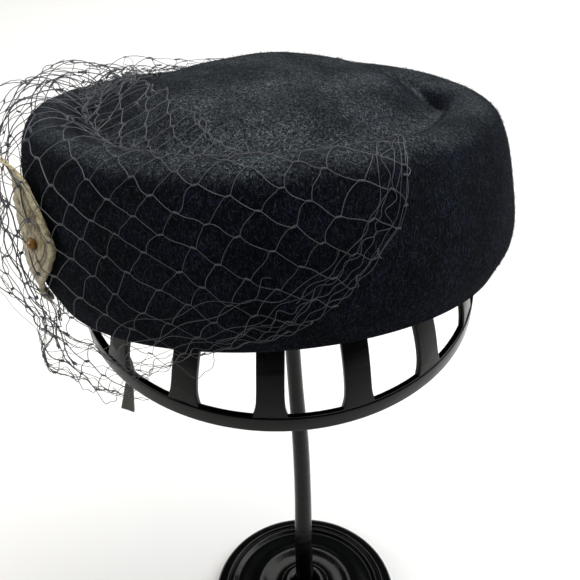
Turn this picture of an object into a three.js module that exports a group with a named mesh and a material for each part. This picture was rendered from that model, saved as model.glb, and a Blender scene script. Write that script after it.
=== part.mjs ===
// A felt pillbox hat with a net veil and a leather leaf trim, on a slatted hat stand.
// Millimetres, +Z up. The origin is the centre of the stand's foot on the table. X runs from the
// trimmed end of the hat (-X) to its plain end (+X), and the hat's near side faces -Y.
import * as THREE from "three";

const DEGREE = Math.PI / 180;
const TURN = 2 * Math.PI;
// Clearance between two pieces that touch on the real object.
const GAP = 0.3;

// ---- driving dimensions ---------------------------------------------------------------------

// The stand: a turned foot, a bowed stem and a slatted dome that the hat sits on.
const STAND = {
  domeCentre: [-14, 5],
  ringBottom: 245,
  ringHeight: 8,
  ringRadius: 86.5,
  ringThickness: 3.2,
  domeHeight: 90,
  ribCount: 15,
  ribWidth: 11,
  ribThickness: 2.6,
  firstRib: -91.6,
  capRadius: 30,
};

// The stem's centre line and radius, from the foot up to the cap.
const STEM_STATIONS = [
  { x: 0, y: 0, z: 14.5, radius: 5 },
  { x: -1.2, y: 0.4, z: 55, radius: 4.8 },
  { x: -1.9, y: 1.1, z: 98, radius: 4.4 },
  { x: -3.4, y: 1.9, z: 140, radius: 4.2 },
  { x: -6.0, y: 2.8, z: 180, radius: 3.7 },
  { x: -9.0, y: 3.8, z: 235, radius: 3.5 },
  { x: -12.2, y: 4.6, z: 295, radius: 3.5 },
  { x: -14, y: 5, z: 331.8, radius: 3.5 },
];

// The foot's turned profile, from the underside's edge to the socket that holds the stem.
const FOOT_PROFILE = [
  { place: "underside", r: 50.2, z: 0 },
  { place: "rim_low", r: 51.6, z: 1.6 },
  { place: "rim", r: 52, z: 4.6 },
  { place: "rim_high", r: 51, z: 7.4 },
  { place: "rim_top", r: 48.4, z: 9 },
  { place: "outer_groove_edge", r: 45.6, z: 9.6 },
  { place: "outer_groove", r: 44.6, z: 8.6 },
  { place: "between_grooves", r: 42.4, z: 10.2 },
  { place: "inner_groove", r: 39.6, z: 9.2 },
  { place: "inner_groove_edge", r: 38.2, z: 10.8 },
  { place: "plate", r: 31, z: 12 },
  { place: "wave_crest", r: 26.5, z: 13.6 },
  { place: "wave_foot", r: 21, z: 12.6 },
  { place: "collar_foot", r: 15, z: 13.2 },
  { place: "collar", r: 13.6, z: 16.8 },
  { place: "collar_top", r: 10.6, z: 18.6 },
  { place: "socket_edge", r: 5.6, z: 18.6 },
  { place: "socket_floor", r: 5.6, z: 14 },
];

// The hat in its own frame: the hem lies near z = 0 and the crown points up.
const HAT = {
  centre: [-14.4, 3, 259],
  tilt: -20.2 * DEGREE,
  lean: -4.3 * DEGREE,
  halfLength: 102,
  halfWidth: 99,
  felt: 2.5,
  segments: 60,
  stepsPerStation: 2,
};

// Stations of the felt's outer side, from the hem up the wall, over the rolled rim, down into the
// groove and up to the crown's centre. reach is the share of the plan outline's radius and height
// is in millimetres, each at the hat's right, far, left and near side.
const FELT_STATIONS = [
  { name: "hem", reach: [0.925, 0.915, 0.93, 0.9], height: [0, 0, 0, 0] },
  { name: "low_wall", reach: [1, 0.96, 0.995, 0.96], height: [14, 15, 14, 15] },
  { name: "bulge", reach: [1.005, 0.995, 1, 0.99], height: [32, 36, 36, 36] },
  { name: "high_wall", reach: [0.98, 1, 1, 1], height: [53, 56, 58, 56] },
  { name: "shoulder", reach: [0.935, 0.96, 0.97, 0.965], height: [64, 68.5, 72, 68] },
  { name: "rim", reach: [0.85, 0.87, 0.89, 0.87], height: [69, 72, 77, 73] },
  { name: "rim_inside", reach: [0.76, 0.78, 0.8, 0.79], height: [68, 71.5, 74, 70] },
  { name: "groove", reach: [0.71, 0.71, 0.73, 0.72], height: [66, 71, 70, 65] },
  { name: "crown_foot", reach: [0.63, 0.62, 0.64, 0.62], height: [70, 75, 74, 69] },
  { name: "crown_slope", reach: [0.44, 0.42, 0.44, 0.4], height: [82, 85, 84, 79] },
  { name: "crown_top", reach: [0, 0, 0, 0], height: [85.5, 85.5, 85.5, 85.5] },
];

// Pinches and dimples pressed into the felt: where (station place and angle round the hat in
// degrees), how deep, and how far the press spreads both ways.
const FELT_DENTS = [
  { name: "right_pinch", place: 7, angle: 12, depth: 7, placeSpread: 0.9, angleSpread: 11 },
  { name: "left_dimple", place: 6.6, angle: 168, depth: 3, placeSpread: 0.9, angleSpread: 9 },
];

// The veil's outer form, by angle round the hat in degrees: from the far end of the net, round the
// trimmed end, to the gathered near end. low and high are the station places where the net starts
// and ends, drop is how far its edge hangs under that start, and lift is how far it stands off the
// felt at its lower edge, at mid-wall and over the rim.
const VEIL_COLUMNS = [
  { angle: 67, low: 3.4, high: 6, drop: 0, lift: [2.5, 2.5, 3] },
  { angle: 76, low: 2.4, high: 6.6, drop: 0, lift: [2.5, 2.5, 3] },
  { angle: 87, low: 1.4, high: 7, drop: 0, lift: [2.5, 3, 4] },
  { angle: 106, low: 0.1, high: 7.3, drop: 0, lift: [2.5, 4, 6] },
  { angle: 130, low: 0, high: 7.4, drop: 8, lift: [4, 7, 8] },
  { angle: 150, low: 0, high: 7.2, drop: 18, lift: [9, 14, 8] },
  { angle: 172, low: 0, high: 7, drop: 20, lift: [16, 22, 10] },
  { angle: 195, low: 0, high: 7, drop: 18, lift: [17, 22, 9] },
  { angle: 212, low: 0, high: 7.1, drop: 24, lift: [11, 10, 5] },
  { angle: 228, low: 0, high: 7.3, drop: 24, lift: [6, 4, 3] },
  { angle: 243, low: 0, high: 7.4, drop: 9, lift: [3, 2.5, 3] },
  { angle: 258, low: 0, high: 7.4, drop: 3, lift: [2.5, 2.5, 3] },
  { angle: 273, low: 0.1, high: 7.2, drop: 0, lift: [2.5, 2.5, 3] },
  { angle: 289, low: 1.4, high: 7, drop: 0, lift: [2.5, 2.5, 3] },
  { angle: 300, low: 2.4, high: 6.6, drop: 0, lift: [2.5, 2.5, 3] },
  { angle: 307, low: 3.4, high: 6, drop: 0, lift: [2.5, 2.5, 3] },
];
// The lowest rows hang free under the felt, tucked in towards the head by a share of their drop.
const VEIL = { thickness: 1.2, anglesPerColumn: 2, rows: 16, hangingRows: 4, tuck: 0.2 };

// The leaf of the trim, from its tip by the hem, up the wall and over into the curl. height is in
// the hat's frame, width runs round the hat on both sides of an angle in degrees, and out is how far
// the leather stands off the felt.
const LEAF_SECTIONS = [
  { name: "tip", height: 2.5, width: 6, angle: 196, out: 1.4 },
  { name: "low", height: 14, width: 26, angle: 200, out: 1.8 },
  { name: "belly", height: 33, width: 47, angle: 206, out: 2.2 },
  { name: "upper", height: 46, width: 39, angle: 207, out: 2.4 },
  { name: "neck", height: 57, width: 20, angle: 208, out: 3 },
  { name: "bend", height: 65, width: 13, angle: 206, out: 6.5 },
  { name: "curl_top", height: 67, width: 11, angle: 202, out: 11 },
  { name: "curl_end", height: 65, width: 6, angle: 199, out: 14.5 },
];
// Above wallTop the leaf leaves the wall and rises straight on into its curl.
const LEAF = { thickness: 1.6, across: 6, stepsPerSection: 3, wallTop: 58 };

// The bead sits on the leaf's belly; leafOut is how far the leather stands off the felt there.
const BEAD = { angle: 211, height: 35, radius: 2.4, leafOut: 2.3 };

// The leather tail that hangs from inside the hem past the stand's ring, in world millimetres.
const TAIL_STATIONS = [
  { x: -94, y: -31, z: 272.5, width: 3 },
  { x: -88, y: -35, z: 266, width: 3 },
  { x: -80, y: -40, z: 256, width: 3.2 },
  { x: -75.5, y: -44.5, z: 243, width: 3.6 },
  { x: -77, y: -46, z: 231, width: 4.4 },
  { x: -78.5, y: -46.5, z: 219.5, width: 6.4 },
];
const TAIL = { thickness: 1.2, facing: 247 };

// ---- the felt's surface ---------------------------------------------------------------------

// Shares of the right, far, left and near columns at an angle round the hat; they add up to 1.
function atAngle(columns, angle) {
  const c = Math.cos(angle);
  const s = Math.sin(angle);
  const shares = [Math.max(0, c), Math.max(0, s), Math.max(0, -c), Math.max(0, -s)];
  return columns.reduce((sum, value, i) => sum + value * shares[i] ** 2, 0);
}

function outlineRadius(angle) {
  return 1 / Math.hypot(Math.cos(angle) / HAT.halfLength, Math.sin(angle) / HAT.halfWidth);
}

// A smooth curve through values, read at a place that runs from 0 to values.length - 1. It starts
// straight, and mirrors itself past the end, as a crown does past its centre.
function catmullRom(values, place) {
  const last = values.length - 1;
  const i = Math.min(last - 1, Math.floor(place));
  const t = place - i;
  const before = i > 0 ? values[i - 1] : 2 * values[0] - values[1];
  const after = i + 2 <= last ? values[i + 2] : values[last - 1];
  const [a, b, c, d] = [before, values[i], values[i + 1], after];
  const quadratic = 2 * a - 5 * b + 4 * c - d;
  const cubic = 3 * b - a - 3 * c + d;
  return 0.5 * (2 * b + (c - a) * t + quadratic * t ** 2 + cubic * t ** 3);
}

function angleBetween(a, b) {
  return Math.atan2(Math.sin(a - b), Math.cos(a - b));
}

function dentDepth(place, angle) {
  return FELT_DENTS.reduce((sum, dent) => {
    const along = (place - dent.place) / dent.placeSpread;
    const round = angleBetween(angle, dent.angle * DEGREE) / (dent.angleSpread * DEGREE);
    return sum + dent.depth * Math.exp(-(along ** 2) - round ** 2);
  }, 0);
}

// The felt's outer side in the hat's frame, at a station place (0 is the hem) and an angle.
function feltPoint(place, angle) {
  const reach = catmullRom(FELT_STATIONS.map((s) => atAngle(s.reach, angle)), place);
  const height = catmullRom(FELT_STATIONS.map((s) => atAngle(s.height, angle)), place);
  const radius = reach * outlineRadius(angle);
  const z = height - dentDepth(place, angle);
  return new THREE.Vector3(radius * Math.cos(angle), radius * Math.sin(angle), z);
}

function feltNormal(place, angle) {
  const last = FELT_STATIONS.length - 1;
  const step = 0.02;
  const low = THREE.MathUtils.clamp(place - step, 0, last - 4 * step);
  const high = THREE.MathUtils.clamp(place + step, 2 * step, last - 2 * step);
  const up = feltPoint(high, angle).sub(feltPoint(low, angle));
  const round = feltPoint(low, angle + step).sub(feltPoint(low, angle - step));
  return round.cross(up).normalize();
}

// The station place where the wall reaches a height, between the hem and the rim.
function placeAtHeight(height, angle) {
  let [low, high] = [0, 5];
  for (let i = 0; i < 24; i += 1) {
    const middle = (low + high) / 2;
    if (feltPoint(middle, angle).z < height) low = middle;
    else high = middle;
  }
  return low;
}

// A point held a given distance off the felt.
function offFelt(place, angle, distance) {
  return feltPoint(place, angle).addScaledVector(feltNormal(place, angle), distance);
}

// ---- mesh helpers ---------------------------------------------------------------------------

function geometryOf(points, index) {
  const geometry = new THREE.BufferGeometry();
  const flat = points.flatMap((p) => p.toArray());
  geometry.setAttribute("position", new THREE.Float32BufferAttribute(flat, 3));
  geometry.setIndex(index);
  geometry.computeVertexNormals();
  return geometry;
}

// A closed solid from a loop of loops: rings[k][i], where k runs round a closed section and i runs
// along the piece. When wraps is true the piece also closes on itself, as a hoop does; otherwise
// its two ends are capped by fans.
function solidOfSections(sections, wraps) {
  const around = sections[0].length;
  const points = sections.flat();
  const index = [];
  const steps = wraps ? sections.length : sections.length - 1;
  for (let k = 0; k < steps; k += 1) {
    const a = k * around;
    const b = ((k + 1) % sections.length) * around;
    for (let i = 0; i < around; i += 1) {
      const j = (i + 1) % around;
      index.push(a + i, a + j, b + j, a + i, b + j, b + i);
    }
  }
  if (!wraps) {
    const end = (sections.length - 1) * around;
    const half = around / 2;
    for (let i = 0; i < half - 1; i += 1) {
      // The section's two long sides face each other, so each cap is a strip between them.
      const [p, q, r, s] = [i, i + 1, around - 2 - i, around - 1 - i];
      index.push(p, r, q, p, s, r);
      index.push(end + p, end + q, end + r, end + p, end + r, end + s);
    }
  }
  return geometryOf(points, index);
}

// A section across a thin sheet: out along its front from one edge to the other, back behind it.
function sheetSection(front, back) {
  return [...front, ...back.toReversed()];
}

// The level direction that runs round a hat at an angle.
function roundwards(angle) {
  return new THREE.Vector3(-Math.sin(angle), Math.cos(angle), 0);
}

// The level direction that points away from a hat's middle at an angle.
function outwards(angle) {
  return new THREE.Vector3(Math.cos(angle), Math.sin(angle), 0);
}

function toVector(station) {
  return new THREE.Vector3(station.x, station.y, station.z);
}

function material(colour, roughness, metalness) {
  return new THREE.MeshStandardMaterial({ color: colour, roughness, metalness });
}

const FINISH = {
  felt: material(0x16171b, 0.95, 0),
  net: material(0x1c1c1f, 0.8, 0),
  leather: material(0x8d8263, 0.55, 0),
  bead: material(0xb07a2c, 0.2, 0),
  tail: material(0x3b3524, 0.6, 0),
  plastic: material(0x0b0c0d, 0.25, 0),
};

function node(name, geometry, finish) {
  const mesh = new THREE.Mesh(geometry, finish);
  mesh.name = name;
  return mesh;
}

// ---- the hat --------------------------------------------------------------------------------

// The felt: a hollow body, open at the hem, with its two sides one felt thickness apart.
function feltBody() {
  const last = FELT_STATIONS.length - 1;
  const count = last * HAT.stepsPerStation;
  const points = [];
  const index = [];
  const ring = (k, depth) => Array.from({ length: HAT.segments }, (_, i) => {
    const angle = (i / HAT.segments) * TURN;
    return points.push(offFelt(k / HAT.stepsPerStation, angle, -depth)) - 1;
  });
  const outer = Array.from({ length: count }, (_, k) => ring(k, 0));
  const inner = Array.from({ length: count }, (_, k) => ring(k, HAT.felt));
  const top = feltPoint(last, 0);
  const outerPole = points.push(top) - 1;
  const innerPole = points.push(top.clone().setZ(top.z - HAT.felt)) - 1;
  const band = (low, high) => {
    for (let i = 0; i < HAT.segments; i += 1) {
      const j = (i + 1) % HAT.segments;
      index.push(low[i], low[j], high[j], low[i], high[j], high[i]);
    }
  };
  for (let k = 0; k + 1 < count; k += 1) {
    band(outer[k], outer[k + 1]);
    band(inner[k + 1], inner[k]);
  }
  band(inner[0], outer[0]);
  for (let i = 0; i < HAT.segments; i += 1) {
    const j = (i + 1) % HAT.segments;
    index.push(outer[count - 1][i], outer[count - 1][j], outerPole);
    index.push(inner[count - 1][j], inner[count - 1][i], innerPole);
  }
  return geometryOf(points, index);
}

// One value of the veil's table at a column place, eased between its rows.
function veilValue(read, columnPlace) {
  const i = Math.min(VEIL_COLUMNS.length - 2, Math.floor(columnPlace));
  const t = columnPlace - i;
  return THREE.MathUtils.lerp(read(VEIL_COLUMNS[i]), read(VEIL_COLUMNS[i + 1]), t);
}

// The net's lift off the felt: its three named heights joined by straight runs that ease at both
// ends of the net.
function veilLift(columnPlace, share) {
  const lifts = [0, 1, 2].map((k) => veilValue((column) => column.lift[k], columnPlace));
  const x = Math.min(share * 2, 2);
  const k = Math.min(1, Math.floor(x));
  return THREE.MathUtils.lerp(lifts[k], lifts[k + 1], THREE.MathUtils.smoothstep(x - k, 0, 1));
}

function veilPoint(columnPlace, row, depth) {
  const angle = veilValue((column) => column.angle, columnPlace) * DEGREE;
  const drop = veilValue((column) => column.drop, columnPlace);
  const low = veilValue((column) => column.low, columnPlace);
  const high = veilValue((column) => column.high, columnPlace);
  const climb = Math.max(0, row - VEIL.hangingRows) / (VEIL.rows - 1 - VEIL.hangingRows);
  const point = offFelt(low + (high - low) * climb, angle, veilLift(columnPlace, climb) - depth);
  const fall = (drop * Math.max(0, VEIL.hangingRows - row)) / VEIL.hangingRows;
  return point.addScaledVector(outwards(angle), -VEIL.tuck * fall).setZ(point.z - fall);
}

// The veil's outer form: one thin shell that follows the felt and stands away from it.
function veilShell() {
  const columns = (VEIL_COLUMNS.length - 1) * VEIL.anglesPerColumn + 1;
  const sections = Array.from({ length: columns }, (_, i) => {
    const columnPlace = i / VEIL.anglesPerColumn;
    const side = (depth) => Array.from({ length: VEIL.rows }, (_, row) => {
      return veilPoint(columnPlace, row, depth);
    });
    return sheetSection(side(VEIL.thickness), side(0));
  });
  return solidOfSections(sections, false);
}

// ---- the trim -------------------------------------------------------------------------------

// A point of the leaf: share runs across it from -1 to 1, and out is its distance off the felt.
function leafPoint(section, share) {
  const wallHeight = Math.min(section.height, LEAF.wallTop);
  const middle = section.angle * DEGREE;
  const angle = middle + (share * section.width) / 2 / outlineRadius(middle);
  const point = offFelt(placeAtHeight(wallHeight, angle), angle, section.out);
  return point.setZ(point.z + section.height - wallHeight);
}

function leafSection(place) {
  const read = (key) => catmullRom(LEAF_SECTIONS.map((s) => s[key]), place);
  return { height: read("height"), width: read("width"), angle: read("angle"), out: read("out") };
}

// The direction in which the leaf runs at a section place.
function leafDirection(place) {
  const last = LEAF_SECTIONS.length - 1;
  const reach = 0.05;
  const ahead = leafPoint(leafSection(Math.min(last, place + reach)), 0);
  return ahead.sub(leafPoint(leafSection(Math.max(0, place - reach)), 0)).normalize();
}

function leafGeometry() {
  const count = (LEAF_SECTIONS.length - 1) * LEAF.stepsPerSection + 1;
  const sections = Array.from({ length: count }, (_, k) => {
    const place = k / LEAF.stepsPerSection;
    const section = leafSection(place);
    const lift = roundwards(section.angle * DEGREE).cross(leafDirection(place));
    lift.normalize().multiplyScalar(LEAF.thickness);
    const back = Array.from({ length: LEAF.across }, (_, i) => {
      return leafPoint(section, (2 * i) / (LEAF.across - 1) - 1);
    });
    const front = back.map((p) => p.clone().add(lift));
    return sheetSection(front, back);
  });
  return solidOfSections(sections, false);
}

function beadMesh() {
  const mesh = node("trim_bead", new THREE.SphereGeometry(BEAD.radius, 16, 10), FINISH.bead);
  const angle = BEAD.angle * DEGREE;
  const clearance = BEAD.leafOut + LEAF.thickness + GAP + BEAD.radius;
  mesh.position.copy(offFelt(placeAtHeight(BEAD.height, angle), angle, clearance));
  return mesh;
}

function tailGeometry() {
  const facing = TAIL.facing * DEGREE;
  const across = roundwards(facing);
  const front = outwards(facing);
  const sections = TAIL_STATIONS.map((station) => {
    const corner = (side, depth) => toVector(station)
      .addScaledVector(across, (side * station.width) / 2)
      .addScaledVector(front, (depth * TAIL.thickness) / 2);
    return [corner(1, 1), corner(-1, 1), corner(-1, -1), corner(1, -1)];
  });
  return solidOfSections(sections, false);
}

// ---- the stand ------------------------------------------------------------------------------

function footGeometry() {
  const inner = FOOT_PROFILE.at(-1);
  const profile = [
    new THREE.Vector2(0, 0),
    ...FOOT_PROFILE.map((p) => new THREE.Vector2(p.r, p.z)),
    new THREE.Vector2(0, inner.z),
  ];
  return new THREE.LatheGeometry(profile, 48).rotateX(Math.PI / 2);
}

function stemGeometry() {
  const sides = 14;
  const steps = 22;
  const curve = new THREE.CatmullRomCurve3(STEM_STATIONS.map(toVector));
  const sections = Array.from({ length: steps + 1 }, (_, k) => {
    const t = k / steps;
    const centre = curve.getPoint(t);
    const radius = catmullRom(STEM_STATIONS.map((s) => s.radius), t * (STEM_STATIONS.length - 1));
    return Array.from({ length: sides }, (_, i) => {
      const angle = ((i + 0.5) / sides) * TURN;
      const offset = new THREE.Vector3(Math.cos(angle), Math.sin(angle), 0);
      return offset.multiplyScalar(radius).add(centre);
    });
  });
  return solidOfSections(sections, false);
}

// The dome's radius at its foot, a hair inside the ring's outer side.
const DOME_RADIUS = STAND.ringRadius - 0.2;

// The angle up the dome's ellipse where its radius has shrunk to a given one.
function domeAngleAtRadius(radius) {
  return Math.acos(radius / DOME_RADIUS);
}

// A point of the dome in its own (radius, height) plane, a distance under its outer side.
function domePoint(angle, depth) {
  const radius = DOME_RADIUS - depth;
  return new THREE.Vector2(radius * Math.cos(angle), (STAND.domeHeight - depth) * Math.sin(angle));
}

function ringGeometry() {
  const edge = 0.8;
  const outer = STAND.ringRadius;
  const inner = outer - STAND.ringThickness;
  const top = STAND.ringHeight;
  const profile = [
    [inner + edge, 0], [outer - edge, 0], [outer, edge], [outer, top - edge],
    [outer - edge, top], [inner + edge, top], [inner, top - edge], [inner, edge], [inner + edge, 0],
  ].map(([r, z]) => new THREE.Vector2(r, z));
  return new THREE.LatheGeometry(profile, 72).rotateX(Math.PI / 2);
}

// One rib: a strip of the dome between the ring and the cap, cut to an even width.
function ribGeometry() {
  const steps = 9;
  const start = Math.asin((STAND.ringHeight + GAP) / (STAND.domeHeight - STAND.ribThickness));
  const end = domeAngleAtRadius(STAND.capRadius + GAP);
  const arc = (depth) => Array.from({ length: steps + 1 }, (_, i) => {
    return domePoint(start + ((end - start) * i) / steps, depth);
  });
  const outline = new THREE.Shape([...arc(0), ...arc(STAND.ribThickness).toReversed()]);
  const strip = new THREE.ExtrudeGeometry(outline, { depth: STAND.ribWidth, bevelEnabled: false });
  strip.translate(0, 0, -STAND.ribWidth / 2);
  return strip.rotateX(Math.PI / 2);
}

function capGeometry() {
  const steps = 5;
  const start = domeAngleAtRadius(STAND.capRadius);
  const arc = (depth) => Array.from({ length: steps + 1 }, (_, i) => {
    return domePoint(start + ((Math.PI / 2 - start) * i) / steps, depth);
  });
  const profile = [...arc(STAND.ribThickness).toReversed(), ...arc(0)];
  profile[0].x = 0;
  profile.at(-1).x = 0;
  return new THREE.LatheGeometry(profile, 36).rotateX(Math.PI / 2);
}

function standDome() {
  const dome = new THREE.Group();
  dome.position.set(...STAND.domeCentre, STAND.ringBottom);
  dome.add(node("stand_ring", ringGeometry(), FINISH.plastic));
  dome.add(node("stand_cap", capGeometry(), FINISH.plastic));
  for (let i = 0; i < STAND.ribCount; i += 1) {
    const name = `stand_rib_${String(i + 1).padStart(2, "0")}`;
    const rib = node(name, ribGeometry(), FINISH.plastic);
    rib.rotation.z = STAND.firstRib * DEGREE + (i / STAND.ribCount) * TURN;
    dome.add(rib);
  }
  return dome;
}

// ---- the whole object -----------------------------------------------------------------------

const hat = new THREE.Group();
hat.position.set(...HAT.centre);
hat.rotation.set(HAT.tilt, HAT.lean, 0, "YXZ");
hat.add(node("felt_crown", feltBody(), FINISH.felt));
hat.add(node("veil", veilShell(), FINISH.net));
hat.add(node("trim_leaf", leafGeometry(), FINISH.leather));
hat.add(beadMesh());

const model = new THREE.Group();
model.add(hat);
model.add(node("trim_tail", tailGeometry(), FINISH.tail));
model.add(node("stand_foot", footGeometry(), FINISH.plastic));
model.add(node("stand_stem", stemGeometry(), FINISH.plastic));
model.add(standDome());
export default model;
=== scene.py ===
"""A black felt pillbox hat with a net veil and a leather leaf trim, on its slatted hat stand.

Lengths in the tables are millimetres in the object's own frame, and MM turns them to metres when a
mesh is made. Angles round the hat are degrees from its plain end, turning towards its far side.
"""

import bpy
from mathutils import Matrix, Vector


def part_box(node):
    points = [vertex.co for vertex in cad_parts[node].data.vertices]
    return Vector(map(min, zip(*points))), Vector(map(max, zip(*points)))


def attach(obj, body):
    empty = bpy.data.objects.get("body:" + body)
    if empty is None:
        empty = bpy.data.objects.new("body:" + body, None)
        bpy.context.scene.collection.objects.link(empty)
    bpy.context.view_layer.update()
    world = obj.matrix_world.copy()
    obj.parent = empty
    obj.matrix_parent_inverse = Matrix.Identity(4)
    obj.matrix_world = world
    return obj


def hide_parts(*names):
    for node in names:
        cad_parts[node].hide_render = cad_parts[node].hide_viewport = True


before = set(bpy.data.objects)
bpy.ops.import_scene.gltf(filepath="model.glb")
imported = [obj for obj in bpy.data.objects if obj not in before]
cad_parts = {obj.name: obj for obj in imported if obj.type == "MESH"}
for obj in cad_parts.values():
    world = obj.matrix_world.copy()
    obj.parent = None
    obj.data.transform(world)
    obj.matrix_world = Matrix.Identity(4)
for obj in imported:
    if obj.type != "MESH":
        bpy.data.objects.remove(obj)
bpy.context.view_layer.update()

import math

import bmesh
import bpy
import numpy as np
from mathutils import Vector

bl_info = {
    "name": "Pillbox hat with net veil",
    "version": (1, 0, 0),
    "blender": (4, 5, 0),
    "location": "3D View > Sidebar > Hat",
    "description": "Makes a felt pillbox hat with a knotted net veil, on a slatted hat stand",
    "category": "Add Mesh",
}

MM = 0.001
TURN = 2 * math.pi
BODY = "root"


def table(keys, rows):
    """Rows of values, each as a dictionary with the same keys."""
    return [dict(zip(keys.split(), row)) for row in rows]


# ---- the hat's measures -----------------------------------------------------------------------

# The hat's own frame: its hem lies near height 0 and its crown points up. It is turned about X by
# tilt, then about Y by lean, and moved to centre.
HAT = {
    "centre": (-14.4, 3.0, 259.0),
    "tilt": math.radians(-20.2),
    "lean": math.radians(-4.3),
    "half_length": 102.0,
    "half_width": 99.0,
    "felt": 2.5,
}

# The felt's outer side from the hem to the crown's centre, each at the hat's right, far, left and
# near side: reach is the share of the plan outline's radius, height is above the hem.
FELT_STATIONS = table("name reach height", [
    ("hem", (0.925, 0.915, 0.93, 0.9), (0, 0, 0, 0)),
    ("low_wall", (1, 0.96, 0.995, 0.96), (14, 15, 14, 15)),
    ("bulge", (1.005, 0.995, 1, 0.99), (32, 36, 36, 36)),
    ("high_wall", (0.98, 1, 1, 1), (53, 56, 58, 56)),
    ("shoulder", (0.935, 0.96, 0.97, 0.965), (64, 68.5, 72, 68)),
    ("rim", (0.85, 0.87, 0.89, 0.87), (69, 72, 77, 73)),
    ("rim_inside", (0.76, 0.78, 0.8, 0.79), (68, 71.5, 74, 70)),
    ("groove", (0.71, 0.71, 0.73, 0.72), (66, 71, 70, 65)),
    ("crown_foot", (0.63, 0.62, 0.64, 0.62), (70, 75, 74, 69)),
    ("crown_slope", (0.44, 0.42, 0.44, 0.4), (82, 85, 84, 79)),
    ("crown_top", (0, 0, 0, 0), (85.5, 85.5, 85.5, 85.5)),
])
CROWN_TOP = len(FELT_STATIONS) - 1

# Pinches and dimples pressed into the felt, at a station place and an angle.
FELT_DENTS = table("name place angle depth along round", [
    ("right_pinch", 7.0, 12, 7, 0.9, 11),
    ("left_dimple", 6.6, 168, 3, 0.9, 9),
])

# The net's outer form: how far it hangs under the hem (drop) and how far it stands off the felt at
# its lower edge, at mid wall and over the rim (lift).
VEIL_COLUMNS = table("angle low high drop lift", [
    (67, 3.4, 6.0, 0, (0.8, 0.8, 1.2)),
    (87, 1.4, 7.0, 0, (0.8, 1.2, 2.0)),
    (106, 0.1, 7.3, 0, (1.0, 2.5, 4.5)),
    (130, 0, 7.4, 8, (3, 6, 7)),
    (150, 0, 7.2, 18, (8, 13, 8)),
    (172, 0, 7.0, 20, (15, 21, 10)),
    (195, 0, 7.0, 18, (16, 20, 9)),
    (212, 0, 7.1, 24, (10, 8, 4)),
    (228, 0, 7.3, 24, (5, 2, 1.4)),
    (243, 0, 7.4, 9, (1.5, 0.8, 1.0)),
    (258, 0, 7.4, 3, (1.0, 0.7, 0.9)),
    (273, 0.1, 7.2, 0, (0.8, 0.7, 0.9)),
    (289, 1.4, 7.0, 0, (0.8, 0.7, 0.9)),
    (307, 3.4, 6.0, 0, (0.8, 0.7, 0.9)),
])
VEIL_TUCK = 0.2

# The net's edge round its whole piece: rise is the way up the felt from the hem, and press is how
# strongly the cells are drawn together along that edge (0 is loose, 0.8 is tightly gathered).
VEIL_EDGE = table("name angle rise press", [
    ("near_top", 312, 90, 0.78),
    ("near_shoulder", 305, 70, 0.75),
    ("near_wall", 300, 44, 0.75),
    ("near_low", 290, 25, 0.75),
    ("near_hem", 276, 9, 0.75),
    ("hem", 258, 1, 0.6),
    ("hem_end", 243, -8, 0.4),
    ("hang_near", 228, -23, 0.3),
    ("hang", 212, -23, 0.3),
    ("hang_left", 195, -18, 0.3),
    ("hang_far", 172, -19, 0.3),
    ("hang_end", 150, -17, 0.3),
    ("far_hem", 125, -6, 0.5),
    ("far_low", 99, 8, 0.75),
    ("far_wall", 80, 36, 0.75),
    ("far_shoulder", 70, 68, 0.75),
    ("far_top", 64, 90, 0.78),
    ("groove_far", 95, 101, 0.7),
    ("groove_left", 150, 112, 0.5),
    ("crown_left", 185, 128, 0.2),
    ("crown_mid", 215, 134, 0.2),
    ("crown_near", 242, 126, 0.3),
    ("groove_near", 264, 110, 0.5),
    ("groove_end", 292, 99, 0.75),
])

# The leaf from its tip by the hem, up the wall and over into its curl.
LEAF_SECTIONS = table("name height width angle out", [
    ("tip", 2.5, 6, 196, 1.4),
    ("low", 14, 26, 200, 1.8),
    ("belly", 33, 47, 206, 2.2),
    ("upper", 46, 39, 207, 2.4),
    ("neck", 57, 20, 208, 3),
    ("bend", 65, 13, 206, 6.5),
    ("curl_top", 67, 11, 202, 11),
    ("curl_end", 65, 6, 199, 14.5),
])
LEAF = {"thickness": 1.3, "wall_top": 58, "along": 150, "across": 56}

# Creases pressed into the leaf, each from one point of it to another: share runs across the leaf
# from -1 to 1, and place is a section place.
LEAF_CREASES = table("name from to bow", [
    ("midrib", (0.05, 0.3), (-0.1, 4.2), 0.12),
    ("right_lobe", (0.2, 0.7), (0.62, 2.9), 0.3),
    ("left_lobe", (-0.1, 0.7), (-0.6, 2.7), -0.3),
    ("right_fold", (0.0, 2.1), (0.8, 3.3), -0.1),
    ("left_fold", (-0.1, 2.3), (-0.8, 3.4), 0.15),
    ("upper_fold", (0.55, 2.6), (0.1, 3.9), 0.2),
    ("tip_fold", (-0.5, 0.9), (0.5, 1.25), 0.1),
    ("belly_fold", (-0.7, 2.05), (0.1, 1.75), -0.08),
])

BEAD = {"angle": 211, "height": 35, "radius": 2.4, "leaf_out": 2.3, "gap": 0.3}

# The leather tail that hangs from inside the hem past the stand's ring.
TAIL_STATIONS = table("x y z width", [
    (-94, -31, 272.5, 3.0),
    (-88, -35, 266, 3.0),
    (-80, -40, 256, 3.2),
    (-75.5, -44.5, 243, 3.6),
    (-77, -46, 231, 4.4),
    (-78.5, -46.5, 219.5, 6.4),
])
# Rings along it, sides round it, and the power that squares its section (1 leaves it oval).
TAIL = {
    "thickness": 1.2, "facing": math.radians(247), "along": 70, "sides": 20, "squareness": 0.35,
}

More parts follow.
